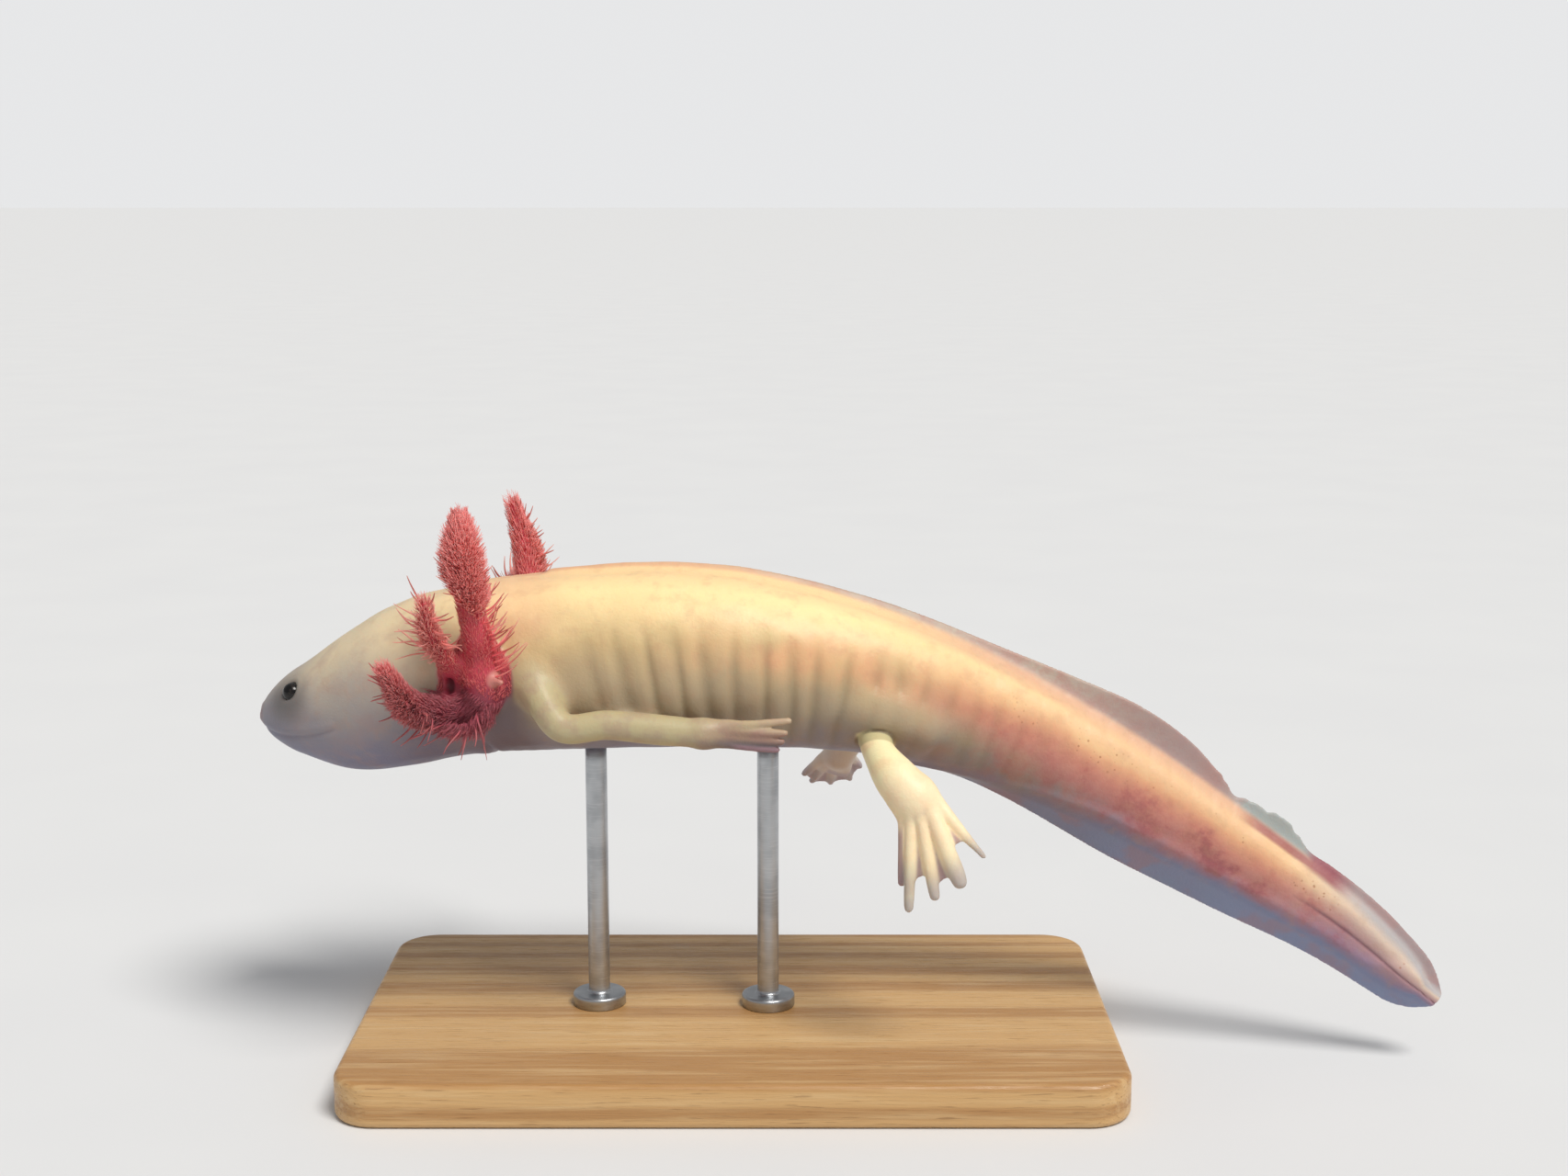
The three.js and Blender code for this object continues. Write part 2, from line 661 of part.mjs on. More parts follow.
function gillSolids(gills, side) {
  const made = [];
  const taken = [bodyWithGap];
  for (const [place, gill] of Object.entries(gills)) {
    const solid = taken.reduce((left, other) => left.subtract(other), gillSolid(gill));
    made.push([`gill_${side}_${place}`, largest(solid)]);
    taken.push(gillSolid(gill, GAP));
  }
  return made;
}

// ---------------------------------------------------------------- stand

function baseGeometry() {
  const { length, width, height, corner, cornerSteps, bevel } = BASE;
  const [x, y] = [length / 2 - bevel, width / 2 - bevel];
  const r = corner - bevel;
  const outline = new THREE.Shape();
  outline.moveTo(-x + r, -y);
  outline.lineTo(x - r, -y);
  outline.absarc(x - r, -y + r, r, -Math.PI / 2, 0);
  outline.lineTo(x, y - r);
  outline.absarc(x - r, y - r, r, 0, Math.PI / 2);
  outline.lineTo(-x + r, y);
  outline.absarc(-x + r, y - r, r, Math.PI / 2, Math.PI);
  outline.lineTo(-x, -y + r);
  outline.absarc(-x + r, -y + r, r, Math.PI, 1.5 * Math.PI);
  const board = new THREE.ExtrudeGeometry(outline, {
    depth: height - 2 * bevel,
    bevelThickness: bevel,
    bevelSize: bevel,
    bevelSegments: 1,
    curveSegments: cornerSteps,
  });
  board.translate(0, 0, bevel);
  return board;
}

// A rod with a round foot, turned in one piece. Its top follows the belly that it holds.
function rodSolid({ x, y, reach }) {
  const { radius, foot, footHeight, chamfer, sides } = ROD;
  const profile = [
    [0, 0],
    [foot, 0],
    [foot, footHeight - chamfer],
    [foot - chamfer, footHeight],
    [radius, footHeight],
    [radius, reach],
    [0, reach],
  ].map(([r, z]) => new THREE.Vector2(r, z));
  const rod = new THREE.LatheGeometry(profile, sides);
  rod.rotateX(Math.PI / 2);
  rod.translate(x, y, BASE.height);
  return largest(toSolid(rod).subtract(bodyWithGap));
}

// ---------------------------------------------------------------- the model

function meshFrom(name, geometry, material) {
  const mesh = new THREE.Mesh(geometry, material);
  mesh.name = name;
  return mesh;
}

function meshOf(name, solid, material) {
  const { vertProperties, triVerts } = solid.getMesh();
  const geometry = new THREE.BufferGeometry();
  geometry.setAttribute("position", new THREE.BufferAttribute(vertProperties, 3));
  geometry.setIndex(new THREE.BufferAttribute(triVerts, 1));
  geometry.computeVertexNormals();
  return meshFrom(name, geometry, material);
}

function groupOf(named, material) {
  const group = new THREE.Group();
  for (const [name, solid] of named) group.add(meshOf(name, solid, material));
  return group;
}

const forelegRight = mirrorLimb(FORELEG_LEFT, FORELEG_MIRROR_AT);
const gillsRight = Object.fromEntries(
  Object.entries(GILLS_LEFT).map(([place, gill]) => [place, mirrorGill(gill, GILL_SWAY[place])]),
);
const limbNames = (leg, parts) => parts.map((part) => `${leg}_${part}`);

const animal = new THREE.Group();
animal.add(
  groupOf(bodySolids(), MATERIALS.skin),
  groupOf(finSolids(), MATERIALS.fin),
  groupOf(limbSolids(FORELEG_LEFT, limbNames("foreleg_left", FORELEG_PARTS)), MATERIALS.skin),
  groupOf(limbSolids(forelegRight, limbNames("foreleg_right", FORELEG_PARTS)), MATERIALS.skin),
  groupOf(limbSolids(HINDLEG_LEFT, limbNames("hindleg_left", HINDLEG_PARTS)), MATERIALS.skin),
  groupOf(limbSolids(HINDLEG_RIGHT, limbNames("hindleg_right", HINDLEG_PARTS)), MATERIALS.skin),
  groupOf(gillSolids(GILLS_LEFT, "left"), MATERIALS.gill),
  groupOf(gillSolids(gillsRight, "right"), MATERIALS.gill),
  groupOf([["eye_left", eyeball(1)], ["eye_right", eyeball(-1)]], MATERIALS.eye),
);

const stand = new THREE.Group();
stand.add(
  meshFrom("stand_base", baseGeometry(), MATERIALS.wood),
  groupOf(RODS.map((rod) => [rod.name, rodSolid(rod)]), MATERIALS.steel),
);

const model = new THREE.Group();
model.add(animal, stand);

export default model;
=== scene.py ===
"""A life-size leucistic axolotl on a display stand: skin, gills, eyes, stand, light and camera.

Shapes are worked out in millimetres in the part's frame (+X tailwards, +Z up, the animal's left
side towards -Y) and become metres in new_mesh. Most dimensions of the body repeat the part's own.
"""

import json
import math

import bpy
import numpy as np
import openvdb
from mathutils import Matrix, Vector


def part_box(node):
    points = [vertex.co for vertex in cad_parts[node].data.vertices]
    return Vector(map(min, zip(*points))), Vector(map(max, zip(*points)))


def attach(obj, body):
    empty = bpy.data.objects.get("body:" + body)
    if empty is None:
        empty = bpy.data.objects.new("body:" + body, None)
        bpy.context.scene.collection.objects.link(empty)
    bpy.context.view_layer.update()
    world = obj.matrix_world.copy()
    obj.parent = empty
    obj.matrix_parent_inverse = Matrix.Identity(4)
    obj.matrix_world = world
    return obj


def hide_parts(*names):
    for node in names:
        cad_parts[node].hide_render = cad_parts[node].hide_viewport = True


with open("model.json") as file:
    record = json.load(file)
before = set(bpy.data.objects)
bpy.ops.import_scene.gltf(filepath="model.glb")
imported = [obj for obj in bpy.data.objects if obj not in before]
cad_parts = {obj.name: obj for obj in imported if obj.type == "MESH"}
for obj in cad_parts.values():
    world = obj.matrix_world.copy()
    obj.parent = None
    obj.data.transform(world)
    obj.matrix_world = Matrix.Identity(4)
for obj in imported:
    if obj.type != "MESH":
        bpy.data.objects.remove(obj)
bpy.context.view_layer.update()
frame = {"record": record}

MM = 0.001
UP = np.array([0.0, 0.0, 1.0])
QUARTER = math.pi / 2

# ---------------------------------------------------------------- dimensions of the body

# The middle line of the body, from the snout to the tip of the tail.
SPINE = [
    (-89.5, 9, 62.3), (-72, 5.8, 65.2), (-52, 2.5, 71.2), (-30, 0, 74.8), (-5, -1, 76.2), (20, -0.8, 73.4),
    (44, -0.2, 66), (67, -1.2, 54.6), (90, -2.8, 41), (112, -6, 27), (130, -9, 11.8),
]


def chord_lengths(points):
    """Distances along a row of points, measured straight from each to the next."""
    steps = np.linalg.norm(np.diff(np.array(points, float)[:, :3], axis=0), axis=1)
    return np.concatenate([[0.0], np.cumsum(steps)])


KNOTS = chord_lengths(SPINE)
LENGTH = KNOTS[-1]
SPINE_REACH = 0.5  # the body's direction is taken this far to both sides

# The flesh: distance from the snout, half width, height above the middle line, depth below it.
BODY = [
    (0, 7.5, 5, 4.2), (9, 11.3, 8.4, 8.2), (18, 14.6, 12.2, 12.4), (30, 17.4, 15.2, 14.2),
    (42, 15.8, 16.2, 15), (62, 15.6, 16.4, 16.6), (88, 16.4, 15.3, 17.2), (113, 13.4, 12.2, 15.3),
    (137, 9.2, 9.8, 12.8), (165, 6.2, 8.4, 9.2), (190, 4.4, 6.7, 7.4), (215, 2.9, 4.7, 5.5),
    (LENGTH, 1.7, 2.6, 3.2),
]
SECTION_POWER = 2.25
SNOUT_ROUNDING = 9
TAIL_ROUNDING = 9
TIP_WEB = 3  # the tail's flesh ends this far before its fins do

# Fins above (1) and below (-1): where they start, their root's share of the flesh's width there,
# and rows of distance from the snout and height of the edge over the flesh.
FINS = {
    1: {
        "start": 60,
        "wedge": 0.4,
        "edge": [
            (62, 0.2), (88, 1), (113, 1.6), (137, 2.4), (150, 3.8), (165, 5.6), (176, 5), (183, 3.3),
            (187, 1.9), (191, 2.7), (197, 3.6), (201, 2.9), (204, 1.5), (209, 1.9), (222, 2.4),
            (LENGTH, 1.8),
        ],
    },
    -1: {
        "start": 130,
        "wedge": 0.98,
        "edge": [
            (130, 0.2), (137, 0.6), (150, 2.4), (165, 4.7), (180, 5.4), (199, 4.8), (222, 3.4),
            (LENGTH, 2.3),
        ],
    },
}
FIN_ROOT = 1.5  # least half thickness where the fin leaves the flesh
FIN_EDGE = 0.3  # half thickness of its edge
FIN_ROUNDING = 8
FIN_RIPPLE = {"height": 0.55, "length": 27}
FIN_FRAY = {"start": 178, "end": 206, "fade": 8, "depth": 0.28}

MOUTH = {"corner": 19.5, "level": -1.3, "dip": 1.5}
EYE = {"at": 10.4, "height": 5.5, "radius": 2, "sunk": 1}
NOSTRIL = {"at": 1.6, "side": 3.4, "height": 1.1, "radius": 0.55}

# Limbs: rows of a middle line with its half width and, where it is flat, its half thickness. A
# digit has its root, tip and radius at both. Each web covers a share of the digits beside it. The
# digit numbered by `dim` gets the painted shade that lies between the digits.
FORELEG_LEFT = {
    "leg": [
        (-38.4, -10, 76.4, 4), (-34.2, -16, 70.9, 3.1), (-30.3, -18.5, 66.2, 2.7),
        (-22.4, -19, 66.7, 2.6), (-13.4, -19.5, 66, 2.7), (-5.3, -20, 65.4, 2.5),
    ],
    "palm": [
        (-5.3, -20, 65.4, 2.5, 2.3), (-2.4, -20.3, 65.5, 2.6, 1.9),
        (0.4, -20.6, 65.6, 2.4, 1.2), (2.4, -20.8, 65.6, 2, 0.6),
    ],
    "digits": [
        ((-1.4, -20.7, 66.9), (10.2, -22.2, 68.3), 1, 0.62),
        ((-1, -21, 66), (9.4, -22.9, 66.2), 1, 0.68),
        ((-1.2, -21, 65), (8.9, -22.7, 64.6), 1, 0.68),
        ((-2, -20.8, 64.1), (8, -22.4, 63.1), 1, 0.66),
    ],
    "webs": (0.55, 0.82, 0.8),
    "dim": 3,
}
HINDLEG_LEFT = {
    "leg": [(25.2, -8, 62.8, 3.2), (26.2, -16, 60.6, 3), (29, -21.4, 57.4, 4), (31.8, -23.3, 54.6, 4.2)],
    "palm": [
        (31.5, -23.2, 55, 4.1, 3.2), (32.6, -24.2, 53.4, 4.3, 2.1),
        (33.6, -25, 51.6, 4.2, 1.2), (34.3, -25.5, 50, 3.8, 0.6),
    ],
    "digits": [
        ((30.1, -24.4, 52.6), (29.7, -25.4, 39.4), 1.15, 0.75),
        ((31.3, -25.2, 53.2), (30.9, -27, 35.2), 1.2, 0.9),
        ((32.7, -25.5, 53.6), (35.4, -28.6, 38), 1.25, 1.0),
        ((34.3, -25.3, 53.8), (39.7, -29.6, 41), 1.6, 1.45),
        ((35.9, -24.6, 53.8), (44, -28, 45.2), 1.5, 0.55),
    ],
    "webs": (0.95, 0.8, 0.93, 0.7),
    "dim": 0,
}
HINDLEG_RIGHT = {
    "leg": [
        (24.4, 6, 64.6, 3.8), (25, 15.5, 61, 3.2), (23.3, 20.5, 56.4, 3.4),
        (20.9, 22.8, 52.4, 3), (19.9, 23.8, 50.4, 2.7),
    ],
    "palm": [
        (19.9, 23.8, 50.4, 2.8, 2.5), (19.2, 25.2, 48.7, 3.5, 1.8),
        (18.6, 26.8, 47.2, 3.8, 1.1), (18.3, 28.4, 45.8, 3.6, 0.55),
    ],
    "digits": [
        ((22.1, 25.4, 49.6), (24.3, 31.5, 46), 1.1, 0.7),
        ((20.7, 25.7, 48.8), (22.4, 34.6, 42.6), 1.15, 0.7),
        ((19.2, 25.8, 48.5), (18.4, 35.4, 41.6), 1.2, 0.75),
        ((17.8, 25.7, 48.6), (14.6, 34.2, 42.2), 1.15, 0.7),
        ((16.8, 25.3, 49.2), (13, 31.6, 44.4), 1.1, 0.7),
    ],
    "webs": (1, 1, 1, 1),
    "dim": 0,
}
FORELEG_MIRROR_AT = 53
DIGIT_BEND = 0.05
DIGIT_TAPER = 0.55
WEB_HALF = 0.32  # half thickness of the web between two digits
# A bulge of each hip that hangs over the leg's root.
HIP = [(15, -6.8, 68.4, 4), (24.4, -10.2, 68, 4.7), (34, -8.2, 64, 4.2)]
HIP_MIRROR_AT = 113

# Gills: each stalk's middle line and radius. Its filaments grow along the comb, which starts lower
# on the gill's fleshy root. They open out from the fringe, a direction given at the root and at
# the tip, by the angles in `open`. `long` counts pairs of long filaments, from the share `first` of
# the comb on, `down` and `velvet` count the short ones, and the stalk is bare of down up to the
# share `bare`. `reach` is the length of the long ones, less by the share `taper` at the tip, and
# `tip` tells how far the down stands up there.
GILLS_LEFT = {
    "top": {
        "stalk": [
            (-46, -12, 75.6, 2.9), (-45, -17.6, 81.6, 2.6), (-46.1, -19.8, 89.6, 2),
            (-47, -20, 97, 1.4), (-47.4, -19, 103.2, 0.8),
        ],
        "comb": [(-44, -16.6, 71.8, 2.4), (-44.2, -17, 77, 2.7)],
        "fringe": [(1, 0.2, -0.2), (0.1, -1, 0)],
        "open": (30, 82), "reach": 8.8, "taper": 0.66, "tip": 1.0,
        "long": 34, "first": 0.1, "down": 3500, "bare": 0.5, "velvet": 2600,
    },
    "middle": {
        "stalk": [
            (-49.4, -12, 74, 2.7), (-50.7, -18.8, 79, 1.7), (-52.4, -23.8, 84.4, 1.25),
            (-52.7, -27, 90, 0.6),
        ],
        "comb": [(-49.4, -14.6, 75.4, 2.7)],
        "fringe": [(-0.3, -1, -0.3), (-0.4, -0.8, 0.1)],
        "open": (72, 100), "reach": 6.7, "taper": 0.2, "tip": 0.55,
        "long": 11, "first": 0.36, "down": 100, "bare": 0.34, "velvet": 1500,
    },
    "bottom": {
        "stalk": [
            (-49.6, -11.5, 70.2, 2.7), (-52.4, -18, 69, 2.2), (-56.5, -23, 71.7, 1.7),
            (-59.8, -27, 78, 0.8),
        ],
        "comb": [(-44.6, -16.4, 71, 2.7), (-48, -17, 67.8, 2.6)],
        "fringe": [(0.3, -0.4, -1), (-0.4, -0.6, -0.8)],
        "open": (30, 80), "reach": 8, "taper": 0.5, "tip": 0.5,
        "long": 20, "first": 0.1, "down": 3500, "bare": -0.1, "velvet": 3200,
    },
}
GILL_MIRROR_AT = 44
GILL_SWAY = {"top": (-1.4, 2, -3.2), "middle": (1, 3, -5), "bottom": (0.5, 1, -2)}
# The fleshy root that the three stalks of a side share, the pale knob behind it and the slit before.
GILL_ROOT = [
    (-46.3, -13.5, 80, 2.4), (-44.6, -15.6, 75.4, 3.2), (-44.9, -15.4, 70.8, 3.1), (-48.4, -14.6, 68, 2.6),
]
GILL_KNOB = [(-43.4, -16, 75, 1.5), (-42, -18, 74.6, 0.9), (-40.9, -18.9, 74.4, 0.5)]
GILL_SLIT = (-50.4, -15, 73.2)
FILAMENTS = {
    "long": {"root": 0.23, "tip": 0.06, "sides": 6, "rings": 14},
    "down": {"root": 0.085, "tip": 0.035, "sides": 3, "rings": 6},
    "velvet": {"root": 0.085, "tip": 0.03, "sides": 3, "rings": 4},
}
TUFT_PATCH = 0.003  # the size of each filament's patch on the bake map

# Costal grooves on the flanks: the first one, their pitch, count, depth, half width and slant.
GROOVES = {"first": 67.5, "pitch": 4.9, "count": 20, "depth": 0.38, "half": 1.05, "slant": 2.1}
# How high or how deep the finer relief is.
RELIEF = {
    "segment": 0.07, "furrow": 0.22, "dent": 0.25, "crease": 0.14, "swelling": 0.1, "wrinkle": 0.02,
    "upper_lip": 0.16, "lower_lip": 0.12, "mouth": 0.16, "mouth_corner": 0.12, "throat": 0.4,
    "throat_rim": 0.2, "slit": 0.8, "eye_rim": 0.18, "eye_seat": 0.5, "nostril": 0.6,
    "nostril_rim": 0.16,
}

# ---------------------------------------------------------------- curves and the body's frame


def unit(vectors):
    return vectors / np.linalg.norm(vectors, axis=-1, keepdims=True)


def full_turn(count):
    return np.linspace(0, 2 * math.pi, count, endpoint=False)


def smooth(knots, rows, x):
    """A smooth cubic through the rows at the knots, at each place of x."""
    knots, rows, x = (np.asarray(a, float) for a in (knots, rows, x))
    rise = np.diff(rows, axis=0) / np.diff(knots)[:, None]
    slope = np.vstack([rise[:1], (rise[:-1] + rise[1:]) / 2, rise[-1:]])
    i = np.clip(np.searchsorted(knots, x, side="right") - 1, 0, len(knots) - 2)
    h = (knots[i + 1] - knots[i])[..., None]
    t = (x - knots[i])[..., None] / h
    ends = (2 * t**3 - 3 * t**2 + 1) * rows[i] + (3 * t**2 - 2 * t**3) * rows[i + 1]
    return ends + (t**3 - 2 * t**2 + t) * h * slope[i] + (t**3 - t**2) * h * slope[i + 1]


def along_rows(rows, shares):
    """The rows' smooth line at shares of its length."""
    knots = chord_lengths(rows)
    return smooth(knots, rows, shares * knots[-1])


def look_up(table, x):
    """A table whose first column is the knot: the other columns, interpolated at x."""
    table = np.array(table, float)
    return smooth(table[:, 0], table[:, 1:], np.clip(x, table[0, 0], table[-1, 0]))


def round_end(t):
    """From 0 at an end to 1 where a round end meets the full section."""
    return np.sqrt(1 - (1 - np.clip(t, 0, 1)) ** 2)


def ease(x, low, high):
    """0 up to low and 1 from high on, with a smooth rise between them. It falls if low > high."""
    t = np.clip((x - low) / (high - low), 0, 1)
    return t * t * (3 - 2 * t)


def hump(x, half):
    """A smooth hump of height 1 round 0."""
    return np.exp(-((x / half) ** 2))


def body_frame(d):
    """At distances from the snout: the middle line, and the ways along it, to the side and up."""
    d = np.asarray(d, float)
    ahead, behind = (smooth(KNOTS, SPINE, d + s) for s in (SPINE_REACH, -SPINE_REACH))
    along = unit(ahead - behind)
    left = unit(np.cross(along, UP))
    return smooth(KNOTS, SPINE, d), along, left, np.cross(left, along)


def flesh(d):
    """Half width, height above and depth below the middle line, with round ends."""
    width, above, below = np.moveaxis(look_up(BODY, d), -1, 0)
    scale = round_end(d / SNOUT_ROUNDING) * round_end((LENGTH - TIP_WEB - d) / TAIL_ROUNDING)
    return width * scale, above * scale, below * scale


def body_places(points):
    """Where points lie in the body: distance from the snout, way to the left, height."""
    d = np.interp(points[:, 0], np.array(SPINE)[:, 0], KNOTS)
    for _ in range(8):
        origin, along, left, up = body_frame(d)
        d = np.clip(d + ((points - origin) * along).sum(1), 0, LENGTH)
    offset = points - origin
    return d, (offset * left).sum(1), (offset * up).sum(1)


def mirror(rows, at):
    """Rows mirrored about the body's middle plane at a distance from the snout."""
    origin, _, left, _ = body_frame(at)
    rows = np.array(rows, float)
    rows[:, :3] -= 2 * ((rows[:, :3] - origin) @ left)[:, None] * left
    return rows


def mirror_limb(limb, at):
    digits = [(*mirror(digit[:2], at), *digit[2:]) for digit in limb["digits"]]
    return {**limb, "leg": mirror(limb["leg"], at), "palm": mirror(limb["palm"], at), "digits": digits}


def mirror_gill(gill, sway):
    _, _, left, _ = body_frame(GILL_MIRROR_AT)
    stalk, comb = (mirror(gill[rows], GILL_MIRROR_AT) for rows in ("stalk", "comb"))
    stalk[:, :3] += np.linspace(0, 1, len(stalk))[:, None] ** 2 * np.array(sway)
    fringe = np.array(gill["fringe"], float)
    fringe -= 2 * (fringe @ left)[:, None] * left
    return {**gill, "stalk": stalk, "comb": comb, "fringe": fringe}


LIMBS = {
    "foreleg_left": FORELEG_LEFT,
    "foreleg_right": mirror_limb(FORELEG_LEFT, FORELEG_MIRROR_AT),
    "hindleg_left": HINDLEG_LEFT,
    "hindleg_right": HINDLEG_RIGHT,
}
GILLS_RIGHT = {place: mirror_gill(gill, GILL_SWAY[place]) for place, gill in GILLS_LEFT.items()}
GILLS_RIGHT["top"].update(fringe=[(1, 0.1, -0.2), (1, 0.5, 0)], open=(30, 50), tip=0.6)
GILLS = {f"left_{place}": gill for place, gill in GILLS_LEFT.items()}
GILLS.update({f"right_{place}": gill for place, gill in GILLS_RIGHT.items()})

# ---------------------------------------------------------------- closed surfaces


def walls_between(count, sides):
    """The quads between rings of points that follow each other."""
    i = np.arange(sides)
    j = (i + 1) % sides
    k = np.arange(count - 1)[:, None] * sides
    return np.stack([k + i, k + j, k + j + sides, k + i + sides], -1).reshape(-1, 4)


def loft(rings):
    """Points, quads and end triangles through rings. Each end closes on the middle of its ring."""
    rings = np.array(rings)
    count, sides = rings.shape[:2]
    points = np.vstack([rings.reshape(-1, 3), rings[[0, -1]].mean(1)])
    first = np.arange(sides)
    last = first + (count - 1) * sides
    middle = np.full(sides, count * sides)
    caps = [np.roll(first, -1), first, middle], [last, np.roll(last, -1), middle + 1]
    return points, walls_between(count, sides), np.hstack(caps).T


def body_surface():
    """The flesh of head, trunk and tail."""
    inward = 1 - np.cos(np.linspace(0.04, 1, 26) * QUARTER)
    end = LENGTH - TIP_WEB
    trunk = np.arange(SNOUT_ROUNDING, end - TAIL_ROUNDING, 0.6)
    d = np.concatenate([SNOUT_ROUNDING * inward[:-1], trunk, end - TAIL_ROUNDING * inward[::-1]])
    angle = full_turn(120)
    c, s = (np.sign(f(angle)) * np.abs(f(angle)) ** (2 / SECTION_POWER) for f in (np.cos, np.sin))
    origin, _, left, up = (part[:, None] for part in body_frame(d))
    width, above, below = (part[:, None, None] for part in flesh(d))
    height = np.where(s[:, None] > 0, above, below) * s[:, None]
    return loft(origin + left * width * c[:, None] + up * height)


def fin_surface(side):
    """A fin along the back (side 1) or under the tail (side -1), a wedge rooted in the flesh."""
    round_part = LENGTH - FIN_ROUNDING * np.cos(np.linspace(0, QUARTER, 22)[:-1])
    d = np.concatenate([np.arange(FINS[side]["start"], LENGTH - FIN_ROUNDING, 0.6), round_part])
    width, above, below = np.moveaxis(look_up(BODY, d), -1, 0)
    full = above if side > 0 else below
    fray = 0.8 * np.sin(0.9 * d) + 0.6 * np.sin(1.9 * d + 1) + 0.4 * np.sin(3.1 * d)
    fray *= ease(d, FIN_FRAY["start"], FIN_FRAY["start"] + FIN_FRAY["fade"])
    fray *= ease(d, FIN_FRAY["end"], FIN_FRAY["end"] - FIN_FRAY["fade"]) * FIN_FRAY["depth"] * (side > 0)
    edge = look_up(FINS[side]["edge"], d)[:, 0]
    tip = (full + edge + fray) * round_end((LENGTH - d) / FIN_ROUNDING)
    # The lower fin's sides touch the flesh where a line from the fin's edge would.
    touch = np.maximum(tip / full, 1.001) ** (-1 / (SECTION_POWER - 1))
    side_at_touch = width * (1 - touch**SECTION_POWER) ** (1 / SECTION_POWER)
    inner = 0.45 if side > 0 else touch
    inner = (inner - (inner + 0.3) * ease(d, LENGTH - 16, LENGTH - 6)) * full
    share = np.linspace(0, 1, 10)
    root = np.maximum(FIN_ROOT, FINS[side]["wedge"] * side_at_touch)[:, None]
    half = FIN_EDGE + (root - FIN_EDGE) * (1 - share)
    turn = np.linspace(0, math.pi, 7)[1:-1]
    rim = np.tile(FIN_EDGE * np.cos(turn), (len(d), 1))
    across = np.hstack([half, rim, -half[:, ::-1]])
    rise = np.concatenate([share, np.ones(len(turn)), share[::-1]])
    swell = np.concatenate([0 * share, FIN_EDGE * np.sin(turn), 0 * share])
    reach = (tip - FIN_EDGE - inner)[:, None]
    height = inner[:, None] + np.maximum(reach, 0.05) * rise + swell
    bend = FIN_RIPPLE["height"] * np.sin(2 * math.pi * d / FIN_RIPPLE["length"] + side)
    sway = bend[:, None] * (height / tip.max()) ** 3 * ease(d, 140, 170)[:, None]
    origin, _, left, up = (part[:, None] for part in body_frame(d))
    return loft(origin + left * (across + sway)[..., None] + up * (side * height)[..., None])


def tube_surface(rows, normal=(0, 1, 0), step=0.5, sides=28):
    """A tube along rows of [x, y, z, half width, half thickness], with round ends."""
    rows = [(*row, row[3])[:5] for row in rows]
    count = max(4, int(chord_lengths(rows)[-1] / step))
    line = along_rows(rows, np.linspace(0, 1, count))
    along = unit(np.gradient(line[:, :3], axis=0))
    turn = np.linspace(0, QUARTER, 7)[1:-1, None]
    ends = []
    for index, way in ((0, -1), (-1, 1)):
        centre = line[index, :3] + way * along[index] * np.sin(turn) * line[index, 4]
        ends.append(np.hstack([centre, line[index, 3:] * np.cos(turn)]))
    line = np.vstack([ends[0][::-1], line, ends[1]])
    along = np.vstack([along[:1].repeat(len(turn), 0), along, along[-1:].repeat(len(turn), 0)])
    thin = np.array(normal, float)
    angle = full_turn(sides)[:, None]
    rings = []
    for row, way in zip(line, along):
        thin = unit(thin - way * (thin @ way))
        wide = np.cross(way, thin)
        rings.append(row[:3] + wide * np.cos(angle) * row[3] + thin * np.sin(angle) * row[4])
    return loft(rings)


def digit_rows(digit):
    """The middle line of a digit, which bows a little towards the body's side of the foot."""
    start, end = np.array(digit[:2], float)
    root, tip = digit[2:]
    bow = np.linalg.norm(end - start) * DIGIT_BEND * np.sign(start[1])
    middle = (start + end) / 2 + np.array([0, bow, 0])
    return [
        (*start, root),
        (*middle, root + (tip - root) * DIGIT_TAPER),
        (*(end + (middle - end) * 0.22), 1.04 * tip),
        (*(end + (middle - end) * 0.05), 0.92 * tip),
    ]


def web_surface(one, other, share):
    """The web between two digits, with an edge that curves in between them."""
    shares = np.linspace(0, share, 14)
    lines = [along_rows(digit_rows(digit), shares)[:, :3] for digit in (one, other)]
    sag = 0.3 * (1 - share) + 0.03
    rings = []
    for j in np.linspace(0, 1, 13):
        dip = 1 - sag * math.sin(math.pi * j)
        row = lines[0] * (1 - j) + lines[1] * j
        cut = smooth(np.linspace(0, 1, 14), row, np.linspace(0, dip, 14))
        normal = unit(np.cross(cut[-1] - cut[0], lines[1][7] - lines[0][7]))
        rings.append(np.vstack([cut + normal * WEB_HALF, cut[::-1] - normal * WEB_HALF]))
    return loft(rings)


# ---------------------------------------------------------------- distance fields

VOXEL = 0.32
BAND = 3.2  # distances are cut off at this


